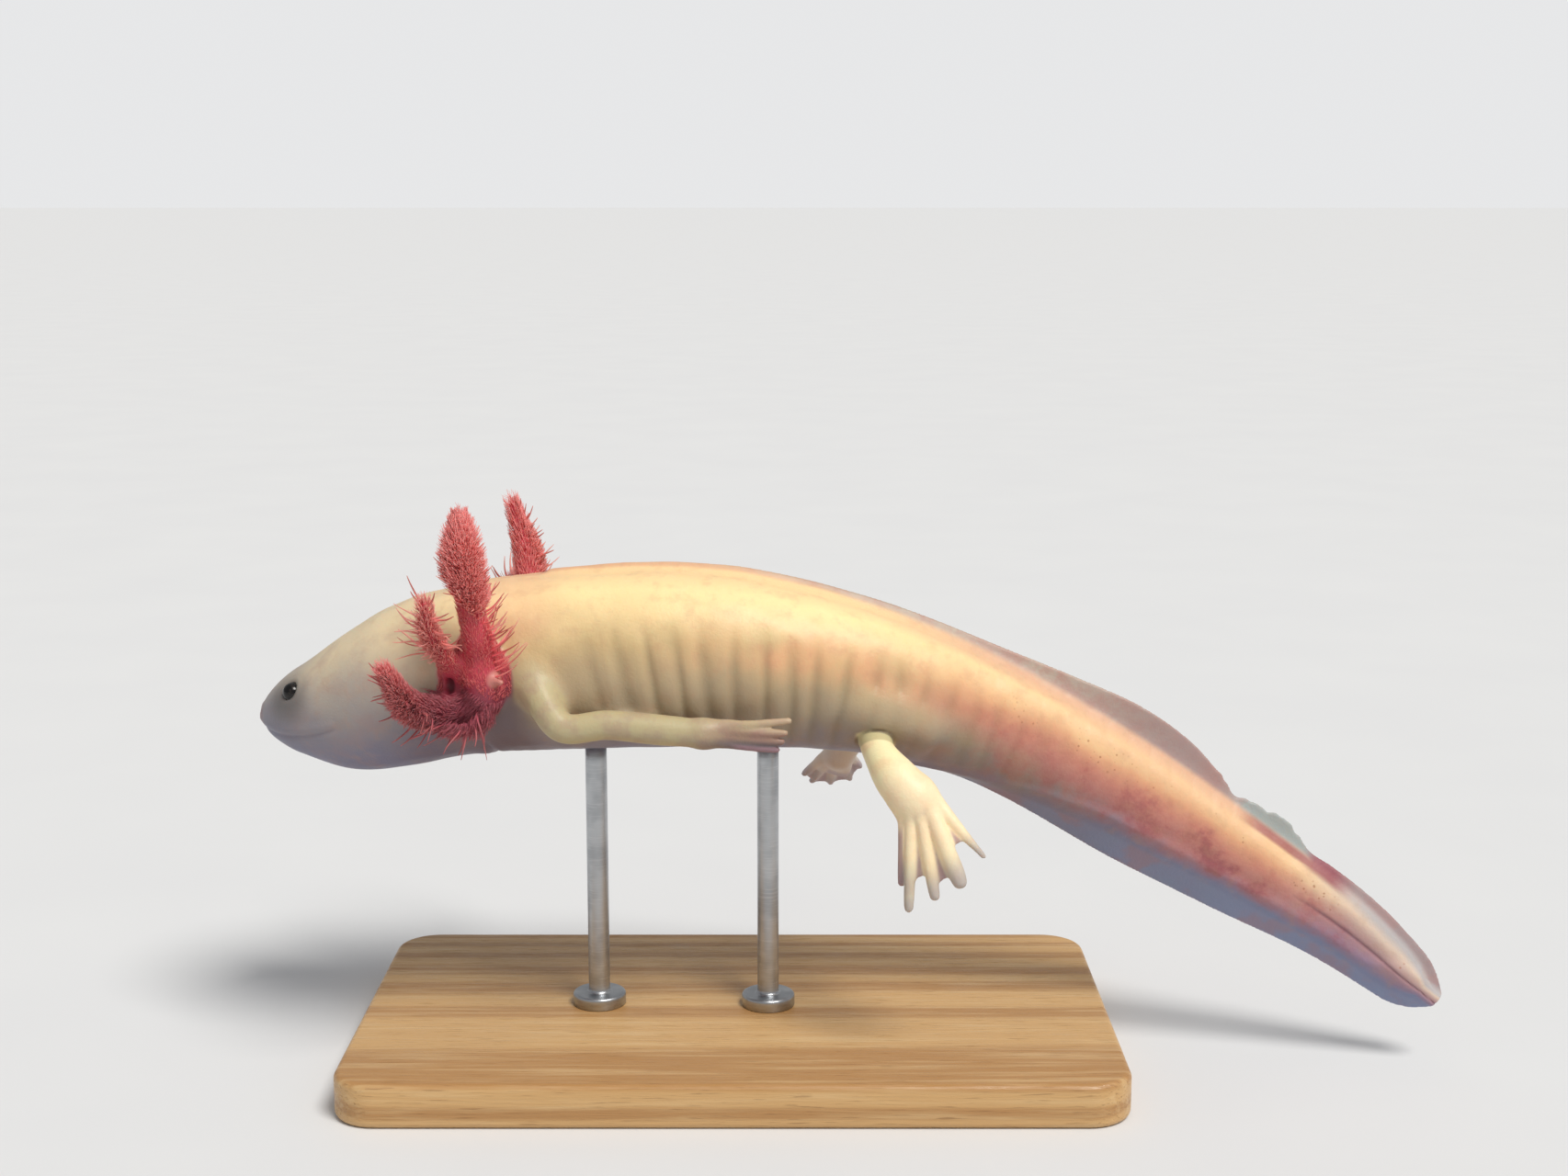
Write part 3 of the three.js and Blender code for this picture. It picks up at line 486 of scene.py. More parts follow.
class Field:
    """Distances to a closed surface on a block of the grid, below 0 inside it.

    The block reaches from the grid point `low` to `high`.
    """

    def __init__(self, low, high):
        self.low, self.high = low, high
        self.values = np.full(high - low + 1, BAND, np.float32)

    @classmethod
    def of(cls, surface):
        points, quads, triangles = surface
        grid = openvdb.FloatGrid.createLevelSetFromPolygons(
            points.astype(np.float32),
            triangles.astype(np.uint32),
            quads.astype(np.uint32),
            openvdb.createLinearTransform(VOXEL),
            BAND / VOXEL,
        )
        low = np.floor((points.min(0) - BAND) / VOXEL).astype(int)
        field = cls(low, np.ceil((points.max(0) + BAND) / VOXEL).astype(int))
        grid.copyToArray(field.values, ijk=tuple(low.tolist()))
        return field

    def join(self, other, radius):
        """Adds the other field's shape, with a fillet of about the radius between the two."""
        start = other.low - self.low
        window = tuple(slice(a, a + n) for a, n in zip(start, other.values.shape))
        a, b = self.values[window], other.values
        share = np.clip(0.5 + (b - a) / (2 * radius), 0, 1)
        self.values[window] = b + (a - b) * share - radius * share * (1 - share)

    def at(self, points):
        """The distances at points, interpolated between grid points. Off the block it is BAND."""
        place = points / VOXEL - self.low
        inside = ((place > 0) & (place < np.array(self.values.shape) - 1)).all(1)
        corner = np.floor(place[inside]).astype(int)
        t = place[inside] - corner
        found = np.full(len(points), BAND)
        found[inside] = 0
        for offset in np.ndindex(2, 2, 2):
            x, y, z = (corner + offset).T
            found[inside] += np.prod(np.where(offset, t, 1 - t), axis=1) * self.values[x, y, z]
        return found


def tube_field(rows, **shape):
    return Field.of(tube_surface(rows, **shape))


def joined(fields, radii):
    """Several fields as one. Each joins those before it with its own radius, or one for all."""
    low = np.min([field.low for field in fields], axis=0)
    whole = Field(low, np.max([field.high for field in fields], axis=0))
    for field, radius in zip(fields, np.broadcast_to(radii, len(fields)).tolist()):
        whole.join(field, radius)
    return whole


def nearest(fields, points):
    return np.min([field.at(points) for field in fields], axis=0)


def away_from(spots, points):
    return np.min([np.linalg.norm(points - spot, axis=1) for spot in spots], axis=0)


# ---------------------------------------------------------------- the skin

# The kinds of flesh in the order in which they are joined, with the fillet that each makes.
FILLETS = {
    "body": 2.4, "fin": 2.4, "hip": 3.0, "foreleg": 3.0, "hindleg": 0.55, "gill": 2.4, "knob": 0.8,
}
FOOT_FILLETS = {"digits": 0.15, "palm": 0.5, "leg": 1.5, "webs": 0.2}
SMOOTHING = {"rounds": 2, "share": 0.5}
# How softly the limbs' colours meet the body's, in front of x = `middle` and behind it.
LIMB_EDGE = {"fore": 1.5, "hind": 0.5, "middle": 10}

# The marks that the skin carries to its material, three to an attribute.
SKIN_MARKS = {
    "place": ("along", "rise", "across"),
    "parts": ("fin", "gill", "limb"),
    "feet": ("foot", "toe", "furrow"),
    "folds": ("web", "crease", "shaded"),
    "lines": ("groove", "mouth", "eye"),
    "spots": ("nostril", "slit", "knob"),
}


def limb_fields(limb):
    """The fields of a whole leg, of the leg alone and of its digits but the dimmest."""
    out = np.subtract(limb["leg"][1][:3], limb["leg"][0][:3])
    leg = tube_field(limb["leg"], normal=(out[2], 0, -out[0]))
    palm = tube_field(limb["palm"], step=0.35)
    digits = [tube_field(digit_rows(digit), step=0.35) for digit in limb["digits"]]
    pairs = zip(limb["digits"], limb["digits"][1:], limb["webs"])
    webs = [Field.of(web_surface(*pair)) for pair in pairs]
    foot = joined([palm, joined(digits, FOOT_FILLETS["digits"])], FOOT_FILLETS["palm"])
    whole = joined([joined([leg, foot], FOOT_FILLETS["leg"]), *webs], FOOT_FILLETS["webs"])
    bright = [digit for index, digit in enumerate(digits) if index != limb["dim"]]
    return {"whole": whole, "leg": leg, "bright": joined(bright, FOOT_FILLETS["digits"])}


def eye_seat(side):
    """The centre of an eye, and the way that it looks."""
    origin, along, left, up = body_frame(EYE["at"])
    width, above, _ = flesh(EYE["at"])
    share = EYE["height"] / above
    across = width * (1 - share**SECTION_POWER) ** (1 / SECTION_POWER)
    spread = width - flesh(EYE["at"] - 1)[0]
    outward = left * side * (across / width) ** (SECTION_POWER - 1) / width
    outward = unit(outward + up * share ** (SECTION_POWER - 1) / above)
    outward = unit(outward - along * spread)
    surface = origin + left * side * across + up * EYE["height"]
    return surface - outward * EYE["sunk"], outward


def skin_fields():
    """All flesh as one field, the fields of its parts by kind, and those of each limb."""
    kinds = {"body": [Field.of(body_surface())], "fin": [Field.of(fin_surface(side)) for side in FINS]}
    kinds["hip"] = [tube_field(rows) for rows in (HIP, mirror(HIP, HIP_MIRROR_AT))]
    limbs = {name: limb_fields(limb) for name, limb in LIMBS.items()}
    for kind in ("foreleg", "hindleg"):
        kinds[kind] = [fields["whole"] for name, fields in limbs.items() if kind in name]
    stalks = [gill["stalk"] for gill in GILLS.values()]
    roots = [GILL_ROOT, mirror(GILL_ROOT, GILL_MIRROR_AT)]
    kinds["gill"] = [tube_field(rows) for rows in stalks + roots]
    kinds["knob"] = [tube_field(rows) for rows in (GILL_KNOB, mirror(GILL_KNOB, GILL_MIRROR_AT))]
    order = [(field, radius) for kind, radius in FILLETS.items() for field in kinds[kind]]
    return joined(*zip(*order)), kinds, limbs


def surface_of(field):
    grid = openvdb.FloatGrid(BAND)
    grid.gridClass = openvdb.GridClass.LEVEL_SET
    grid.transform = openvdb.createLinearTransform(VOXEL)
    grid.copyFromArray(field.values, ijk=tuple(field.low.tolist()))
    points, quads = grid.convertToQuads()
    return points.astype(float), quads[:, ::-1].astype(int)


def relaxed(points, quads):
    """The points moved towards the middle of their neighbours."""
    ends = np.vstack([quads[:, [k, (k + 1) % 4]] for k in range(4)])
    ends = np.vstack([ends, ends[:, ::-1]])
    count = np.bincount(ends[:, 0], minlength=len(points))
    for _ in range(SMOOTHING["rounds"]):
        for axis in range(3):
            total = np.bincount(ends[:, 0], points[ends[:, 1], axis], len(points))
            points[:, axis] += SMOOTHING["share"] * (total / count - points[:, axis])
    return points


def normals_of(points, quads):
    corners = points[quads]
    face = np.cross(corners[:, 2] - corners[:, 0], corners[:, 3] - corners[:, 1])
    total = np.zeros(points.shape)
    for axis in range(3):
        for k in range(4):
            total[:, axis] += np.bincount(quads[:, k], face[:, axis], len(points))
    return unit(total + 1e-12)


def skin_marks(points, fields, limbs):
    """Where each point lies and what it belongs to, for the skin's relief and colours."""
    d, left, height = body_places(points)
    width, above, below = flesh(np.clip(d, 1, LENGTH - TIP_WEB - 1))
    reach = np.where(height > 0, above, below)
    rise, across = height / reach, left / width
    radius = (np.abs(rise) ** SECTION_POWER + np.abs(across) ** SECTION_POWER) ** (1 / SECTION_POWER)
    hip = nearest(fields["hip"], points)
    off_body = (radius - 1) * np.minimum(width, reach)
    off_body = np.minimum(off_body, np.where(hip < BAND, hip, off_body))
    off_limb = nearest(fields["foreleg"] + fields["hindleg"], points)
    edge = np.where(points[:, 0] > LIMB_EDGE["middle"], LIMB_EDGE["hind"], LIMB_EDGE["fore"])
    limb = ease((off_body - off_limb) / edge, -1, 1) * (off_limb < 1.5)
    # Painted shade between the digits, on the webs and on the dim digit, beyond the palm.
    web = np.zeros(len(points))
    for name, parts in limbs.items():
        palm = np.array(LIMBS[name]["palm"])[:, :3]
        beyond = points - np.mean([digit[0] for digit in LIMBS[name]["digits"]], axis=0)
        beyond = beyond @ unit(palm[-1] - palm[0])
        off_digits = parts["bright"].at(points)
        between = ease(off_digits, 0.1, 0.55) * ease(off_digits, 2.4, 1.4)
        web += between * ease(beyond, 0.5, 3) * limb
    trunk = np.minimum(off_body, hip)
    hind = nearest([parts["leg"] for name, parts in limbs.items() if "hindleg" in name], points)
    corner = np.hypot(hind - 0.1, trunk - 0.1)
    gill = ease(nearest(fields["gill"], points), 2.6, 1.0) * ease(off_body, 0.0, 0.9)
    over = np.where(height > 0, height - above, -height - below)
    fin = ease(over, 0.1, 1.3) * ease(d, 70, 120) * (np.abs(left) < 0.5 * width + 1)
    fin *= (1 - limb) * (1 - gill)
    tips = [digit[1] for parts in LIMBS.values() for digit in parts["digits"]]
    palms = [parts["palm"][2][:3] for parts in LIMBS.values()]
    return {
        "d": d,
        "left": left,
        "height": height,
        "along": d / LENGTH,
        "rise": rise,
        "across": across,
        "limb": limb,
        "gill": gill,
        "fin": fin,
        "body": (1 - limb) * (1 - gill) * (1 - fin),
        "web": web,
        "hip": ease(hip, 1.5, 0.3),
        "crease": ease(corner, 0.75, 0.2) * ease(points[:, 2], 59.5, 61.5),
        "shaded": limb * ease(trunk, BAND - 0.05, BAND - 0.5),
        "knob": ease(nearest(fields["knob"], points), 1.0, 0.2) * ease(off_body, 0.0, 0.8),
        "toe": ease(away_from(tips, points), 7, 1) * limb,
        "foot": ease(away_from(palms, points), 13, 6) * limb,
    }


def groove_relief(marks):
    """Costal grooves, deepest low on the flank, and the muscle segments of the tail."""
    d, height, rise, body = (marks[name] for name in ("d", "height", "rise", "body"))
    slant = GROOVES["slant"] * (1 - 0.6 * ease(d, 70, 122)) * (rise - 0.3 * rise**2)
    shifted = d + slant + 0.25 * np.sin(0.9 * d) + 0.3 * np.sin(0.31 * d + height * 0.12)
    shifted -= GROOVES["first"]
    index = np.clip(np.round(shifted / GROOVES["pitch"]), 0, GROOVES["count"] - 1)
    off = shifted - index * GROOVES["pitch"]
    flank = ease(rise, 0.62, 0.05) * ease(rise, -0.97, -0.7) * body
    flank *= (1 - 0.7 * marks["hip"]) * (1 - 0.3 * ease(d, 116, 128))
    flank *= ease(index, -2, 2) * ease(index, GROOVES["count"] + 1, GROOVES["count"] / 2)
    groove = 1.25 * hump(off, GROOVES["half"]) - 0.45 * (1 - hump(off, 2 * GROOVES["half"]))
    marks["groove"] = np.maximum(groove, 0) * flank
    # The tail's muscles are bent forward at mid height, with a furrow between the two rows.
    bent = d + 3.2 * np.abs(rise)
    segment = hump(((bent / 4.6) % 1 - 0.5) * 4.6, 0.8) * ease(d, 128, 140) * ease(d, 225, 205)
    marks["furrow"] = hump(rise + 0.14, 0.06) * ease(d, 203, 214) * body
    relief = -GROOVES["depth"] * groove * flank - RELIEF["segment"] * segment * body
    return relief - RELIEF["furrow"] * marks["furrow"]


def mouth_relief(marks):
    """The mouth, with full lips and a small fold at its corner, and the fold across the throat.

    Both have the same mark, which is weaker on the throat.
    """
    d, left, height = (marks[name] for name in ("d", "left", "height"))
    share = np.clip(d / MOUTH["corner"], 0, 1)
    over = height - MOUTH["level"] + MOUTH["dip"] * np.sin(0.8 * math.pi * share)
    mouth = ease(d, MOUTH["corner"] + 0.8, MOUTH["corner"] - 0.8)
    line = hump(over, 0.34) * mouth
    relief = RELIEF["upper_lip"] * hump(over - 1.1, 0.8) * mouth - RELIEF["mouth"] * line
    relief += RELIEF["lower_lip"] * hump(over + 1.1, 0.9) * mouth
    corner = np.hypot(d - MOUTH["corner"] - 1.2, over)
    relief -= RELIEF["mouth_corner"] * hump(corner, 1.1) * (np.abs(left) > 5)
    throat = ease(marks["rise"], -0.1, -0.5) * marks["body"]
    fold = d - 45.5 + 1.8 * ease(marks["rise"], -1, -0.3)
    marks["mouth"] = line + 0.4 * throat * hump(fold, 1)
    rim = RELIEF["throat_rim"] * hump(fold + 1.9, 1.8)
    return relief + throat * (rim - RELIEF["throat"] * hump(fold, 0.9))


def slit_relief(points, marks):
    """The slit in front of each gill's root. Hairs keep clear of the points near to it."""
    slits = (GILL_SLIT, mirror([GILL_SLIT], GILL_MIRROR_AT)[0])
    gap = np.min([np.linalg.norm((points - slit) * (1.5, 0.5, 0.7), axis=1) for slit in slits], axis=0)
    marks["slit"] = ease(gap, 1.6, 0.6)
    marks["near_slit"] = ease(gap, 2.8, 2.2)
    return -RELIEF["slit"] * marks["slit"]


def face_relief(points, marks):
    """Soft rims and hollows round the eyes, and the nostrils."""
    relief = np.zeros(len(points))
    marks["eye"] = np.zeros(len(points))
    marks["nostril"] = np.zeros(len(points))
    origin, _, left, up = body_frame(NOSTRIL["at"])
    front = marks["d"] < NOSTRIL["at"] + 2.5
    for side in (1, -1):
        centre, outward = eye_seat(side)
        away = np.linalg.norm(np.cross(points - centre, outward), axis=1)
        near = np.linalg.norm(points - centre, axis=1) < 6
        relief += near * RELIEF["eye_rim"] * hump(away - 2.5, 0.55)
        relief -= near * RELIEF["eye_seat"] * ease(away, 1.9, 1.3)
        below = points - centre + UP * 1.2
        shade = ease(np.linalg.norm(below * (1, 1, 1.25), axis=1), 7.5, 2.2)
        marks["eye"] = np.maximum(marks["eye"], shade)
        hole = points - origin - left * side * NOSTRIL["side"] - up * NOSTRIL["height"]
        off = np.hypot(hole @ left, hole @ up)
        relief += RELIEF["nostril_rim"] * hump(off - 1.2, 0.5) * front
        relief -= RELIEF["nostril"] * hump(off, NOSTRIL["radius"]) * front
        marks["nostril"] = np.maximum(marks["nostril"], hump(off, 0.75) * front)
    return relief


def loose_relief(points, marks):
    """Dents beside the back's ridge, creases over the hind legs, low swellings and fine wrinkles."""
    d, left, height, body = (marks[name] for name in ("d", "left", "height", "body"))
    x, y, z = points.T
    back = ease(marks["rise"], 0.6, 0.9) * ease(d, 45, 70)
    dents = hump(np.abs(left) - 3.2, 1.3) * back
    swell = np.sin(0.41 * x + 1.3 * np.sin(0.23 * z)) * np.sin(0.37 * z + 0.9 * np.sin(0.19 * x + y))
    wrinkle = np.sin(2.1 * d + 0.6 * height + np.sin(0.5 * left)) * ease(d, 40, 50) * ease(d, 66, 58)
    relief = RELIEF["swelling"] * swell * ease(d, 12, 30) + RELIEF["wrinkle"] * wrinkle
    return body * (relief - RELIEF["dent"] * dents) - RELIEF["crease"] * marks["crease"]


def add_object(name, data):
    made = bpy.data.objects.new(name, data)
    bpy.context.scene.collection.objects.link(made)
    return made


def new_mesh(name, points, faces, material):
    """A mesh from points in millimetres and arrays of faces."""
    mesh = bpy.data.meshes.new(name)
    mesh.from_pydata((points * MM).tolist(), [], [face for part in faces for face in part.tolist()])
    mesh.materials.append(material)
    return mesh


def add_mesh(name, points, faces, material, attributes=None):
    """A smooth piece that rides on the model, with three values to an attribute at each point."""
    mesh = new_mesh(name, points, faces, material)
    mesh.polygons.foreach_set("use_smooth", np.ones(len(mesh.polygons), bool))
    for label, values in (attributes or {}).items():
        layer = mesh.attributes.new(label, "FLOAT_VECTOR", "POINT")
        layer.data.foreach_set("vector", np.stack(values, -1).astype(np.float32).ravel())
    mesh.update()
    piece = add_object(name, mesh)
    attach(piece, "root")
    return piece


def make_skin(material):
    whole, fields, limbs = skin_fields()
    points, quads = surface_of(whole)
    points = relaxed(points, quads)
    marks = skin_marks(points, fields, limbs)
    relief = groove_relief(marks) + mouth_relief(marks) + slit_relief(points, marks)
    relief += face_relief(points, marks) + loose_relief(points, marks)
    points += normals_of(points, quads) * relief[:, None]
    attributes = {label: [marks[name] for name in names] for label, names in SKIN_MARKS.items()}
    skin = add_mesh("skin", points, [quads], material, attributes)
    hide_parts(*[n for n, s in NODE_SLOTS.items() if s in ("skin", "fin")])
    return gill_flesh(points, normals_of(points, quads), marks)


# ---------------------------------------------------------------- gill filaments

# The marks of the filaments: the way up each, its share of the comb, and chance; then its kind.
FILAMENT_MARKS = {"strand": ("t", "share", "chance"), "kind": ("long", "bottom", "middle")}
COMB_REACH = 0.1  # the comb's direction is taken this far to both sides
COMB_STEPS = 60
# Chance in the filaments, as ranges or as spreads round 0: places along the comb, shares of the
# fringe's opening, degrees, lengths (of velvet in millimetres, of others as shares of the reach),
# then ways to bend as shares of the length, the wave's phase and pace, and widths.
CHANCE = {
    "place": 0.012, "hand": (0.75, 1.15), "down_hand": (-1.25, 1.25), "angle": 6, "long": (0.8, 1.12),
    "down": (0.36, 0.62), "velvet": (0.3, 0.6), "lean": (0.3, 0.95), "curl": 0.2, "droop": (0, 0.12),
    "velvet_lean": (1.2, 2.2), "velvet_curl": 0.3, "phase": (0, 6.3), "pace": (4, 7.5),
    "width": (0.8, 1.2),
}
WAVE = 0.045
ROOT_DEPTH = 0.7  # where a filament starts, as a share of the gill's radius


def turned(way, axis, angle):
    """Vectors turned about unit axes by angles."""
    c, s = np.cos(angle)[:, None], np.sin(angle)[:, None]
    return way * c + np.cross(axis, way) * s + axis * (axis * way).sum(1)[:, None] * (1 - c)


def comb_of(gill):
    """The line that a gill's filaments grow along, with its radius."""
    return [*gill["comb"], *gill["stalk"][1:]]


def comb_places(gill, share):
    """At shares of the comb: its line with radius, the way along it and the way of the fringe."""
    comb = comb_of(gill)
    reach = COMB_REACH / chord_lengths(comb)[-1]
    ahead, behind = (along_rows(comb, share + s)[:, :3] for s in (reach, -reach))
    along = unit(ahead - behind)
    fringe = np.array(gill["fringe"], float)
    way = fringe[0] + (fringe[1] - fringe[0]) * ease(share, 0.35, 0.75)[:, None]
    return along_rows(comb, share), along, unit(way - along * (way * along).sum(1)[:, None])


def nearest_on_comb(gill, points):
    """The share of the gill's comb that is nearest to each point, and how far away it is."""
    shares = np.linspace(0, 1, COMB_STEPS)
    line = along_rows(comb_of(gill), shares)
    away = np.linalg.norm(points[:, None] - line[None, :, :3], axis=2) - line[None, :, 3]
    return shares[away.argmin(1)], away.min(1)


def gill_flesh(points, normals, marks):
    """For each gill, the places and normals of the flesh nearest to it, but for knob and slit."""
    covered = (marks["gill"] > 0.45) & (marks["knob"] < 0.3) & (marks["near_slit"] < 0.5)
    points, normals = points[covered], normals[covered]
    index = np.argmin([nearest_on_comb(gill, points)[1] for gill in GILLS.values()], axis=0)
    return {name: (points[index == k], normals[index == k]) for k, name in enumerate(GILLS)}


def fringe_paths(gill, kind, size, chance):
    """Middle lines of the long filaments or the down, with each one's share and turn."""
    if kind == "long":
        count = 2 * gill["long"]
        share = np.tile(np.linspace(gill["first"], 0.97, gill["long"]), 2)
        share += chance.normal(0, CHANCE["place"], count)
        hand = np.repeat([1.0, -1.0], gill["long"]) * chance.uniform(*CHANCE["hand"], count)
    else:
        count = gill["down"]
        share = chance.uniform(max(gill["bare"], 0), 1, count)
        hand = chance.uniform(*CHANCE["down_hand"], count)
    share = np.clip(share, 0, 1)
    line, along, way = comb_places(gill, share)
    radius = line[:, 3][:, None, None]
    spread = gill["open"][0] + (gill["open"][1] - gill["open"][0]) * ease(share, 0.3, 0.8)
    angle = np.radians(spread * hand + chance.normal(0, CHANCE["angle"], count))
    length = gill["reach"] * (1 - gill["taper"] * share) * (1 - 0.55 * ease(share, 0.8, 1))
    portion = chance.uniform(*CHANCE[kind], count)
    if kind == "down":
        portion += 0.42 * ease(share, 0.4, 0.8)
        portion *= 1 + (gill["tip"] - 1) * ease(share, 0.45, 0.9)
    length *= portion
    lean = chance.uniform(*CHANCE["lean"], count) + 2.4 * gill["tip"] * ease(share, 0.8, 1)
    curl = chance.normal(0, CHANCE["curl"], count) - 0.1 * np.sign(hand)
    droop = chance.uniform(*CHANCE["droop"], count)
    phase = chance.uniform(*CHANCE["phase"], count)[:, None, None]
    pace = chance.uniform(*CHANCE["pace"], count)[:, None, None]
    way = turned(way, along, angle)
    way, along, beside = way[:, None], along[:, None], np.cross(along, way)[:, None]
    t = np.linspace(0, 1, size["rings"])[None, :, None]
    bend = along * lean[:, None, None] * (0.35 * t + 0.65 * t**2)
    bend = bend + (beside * curl[:, None, None] - UP * droop[:, None, None]) * t**2
    wave = (np.sin(t * pace + phase) - np.sin(phase)) * WAVE
    rooted = radius * ROOT_DEPTH
    reach = np.maximum(length[:, None, None] - rooted, 0.8)
    paths = line[:, None, :3] + way * rooted + reach * (way * t + bend + wave * beside)
    return paths, share, angle / (2 * math.pi) + 0.5


def velvet_paths(gill, points, normals, size, chance):
    """Short hairs that cover the gill's own flesh and lie along it."""
    chosen = chance.choice(len(points), min(gill["velvet"], len(points)), replace=False)
    root, out = points[chosen], normals[chosen]
    count = len(chosen)
    share, _ = nearest_on_comb(gill, root)
    line, along, way = comb_places(gill, share)
    along = unit(along - out * (along * out).sum(1)[:, None] + 1e-9)
    length = chance.uniform(*CHANCE["velvet"], count)
    length *= 1 + 1.4 * ease(share, gill["bare"] - 0.1, gill["bare"] + 0.25)
    lean = chance.uniform(*CHANCE["velvet_lean"], count)[:, None]
    curl = chance.normal(0, CHANCE["velvet_curl"], count)[:, None]
    bend = along * lean + np.cross(along, out) * curl
    t = np.linspace(0, 1, size["rings"])[None, :, None]
    paths = root[:, None] - out[:, None] * 0.15
    paths = paths + length[:, None, None] * (out[:, None] * t + bend[:, None] * t**1.6)
    off = root - line[:, :3]
    turn = np.arctan2((off * np.cross(along, way)).sum(1), (off * way).sum(1))
    return paths, share, turn / (2 * math.pi) + 0.5


def strands(paths, size, share, chance):
    """Tapered closed tubes along the paths: points, faces and each point's place in its strand."""
    count, rings, sides = len(paths), size["rings"], size["sides"]
    along = unit(np.gradient(paths, axis=1))
    across = unit(np.cross(along, unit(np.array([0.3, 0.5, 0.81]))))
    other = np.cross(along, across)
    t = np.linspace(0, 1, rings)
    radius = size["tip"] + (size["root"] - size["tip"]) * (1 - t) ** 0.7
    width = chance.uniform(*CHANCE["width"], count)
    radius = radius[None, :, None, None] * width[:, None, None, None]
    angle = full_turn(sides)[:, None]
    circle = across[:, :, None] * np.cos(angle) + other[:, :, None] * np.sin(angle)
    points = (paths[:, :, None] + circle * radius).reshape(-1, 3)
    each = rings * sides
    starts = np.arange(count)[:, None] * each
    walls = (starts[:, None] + walls_between(rings, sides)).reshape(-1, 4)
    ring = np.arange(sides)
    faces = [walls, starts + ring[::-1], starts + each - sides + ring]
    chances = np.repeat(chance.uniform(0, 1, count), each)
    return points, faces, [np.tile(np.repeat(t, sides), count), np.repeat(share, each), chances]


def make_filaments(name, gill, material, seed, covered):
    """The long filaments, the down and the velvet of one gill, as one piece."""
    chance = np.random.default_rng(seed)
    points, faces, places, kinds, maps = [], [], [], [], []
    where = [float(place in name) for place in FILAMENT_MARKS["kind"][1:]]
    for kind, size in FILAMENTS.items():
        if kind == "velvet":
            paths, share, turn = velvet_paths(gill, *covered, size, chance)
        else:
            paths, share, turn = fringe_paths(gill, kind, size, chance)
        some, walls, place = strands(paths, size, share, chance)
        start = sum(map(len, points))
        points.append(some)
        places.append(place)
        faces += [part + start for part in walls]
        kinds.append(np.tile([float(kind == "long"), *where], (len(some), 1)))
        each = size["rings"] * size["sides"]
        part = np.arange(len(some)) % each
        u = 0.02 + 0.95 * np.repeat(share, each) + TUFT_PATCH * (part % size["sides"] / size["sides"])
        v = 0.02 + 0.95 * np.repeat(turn, each) + TUFT_PATCH * (part / each)
        maps.append(np.stack([u, v], -1))
    attributes = {"strand": np.hstack(places), "kind": np.vstack(kinds).T}
    piece = add_mesh(f"filaments_{name}", np.vstack(points), faces, material, attributes)
    add_bake_map(piece, np.vstack(maps))
    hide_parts(f"gill_{name}")


def add_bake_map(piece, places):
    """Each filament is a small patch at its root's place on the comb's own unwrap."""
    mesh = piece.data
    corner = np.empty(len(mesh.loops), int)
    mesh.loops.foreach_get("vertex_index", corner)
    layer = mesh.uv_layers.new(name="OFBake")
    layer.data.foreach_set("uv", places[corner].astype(np.float32).ravel())


# ---------------------------------------------------------------- materials


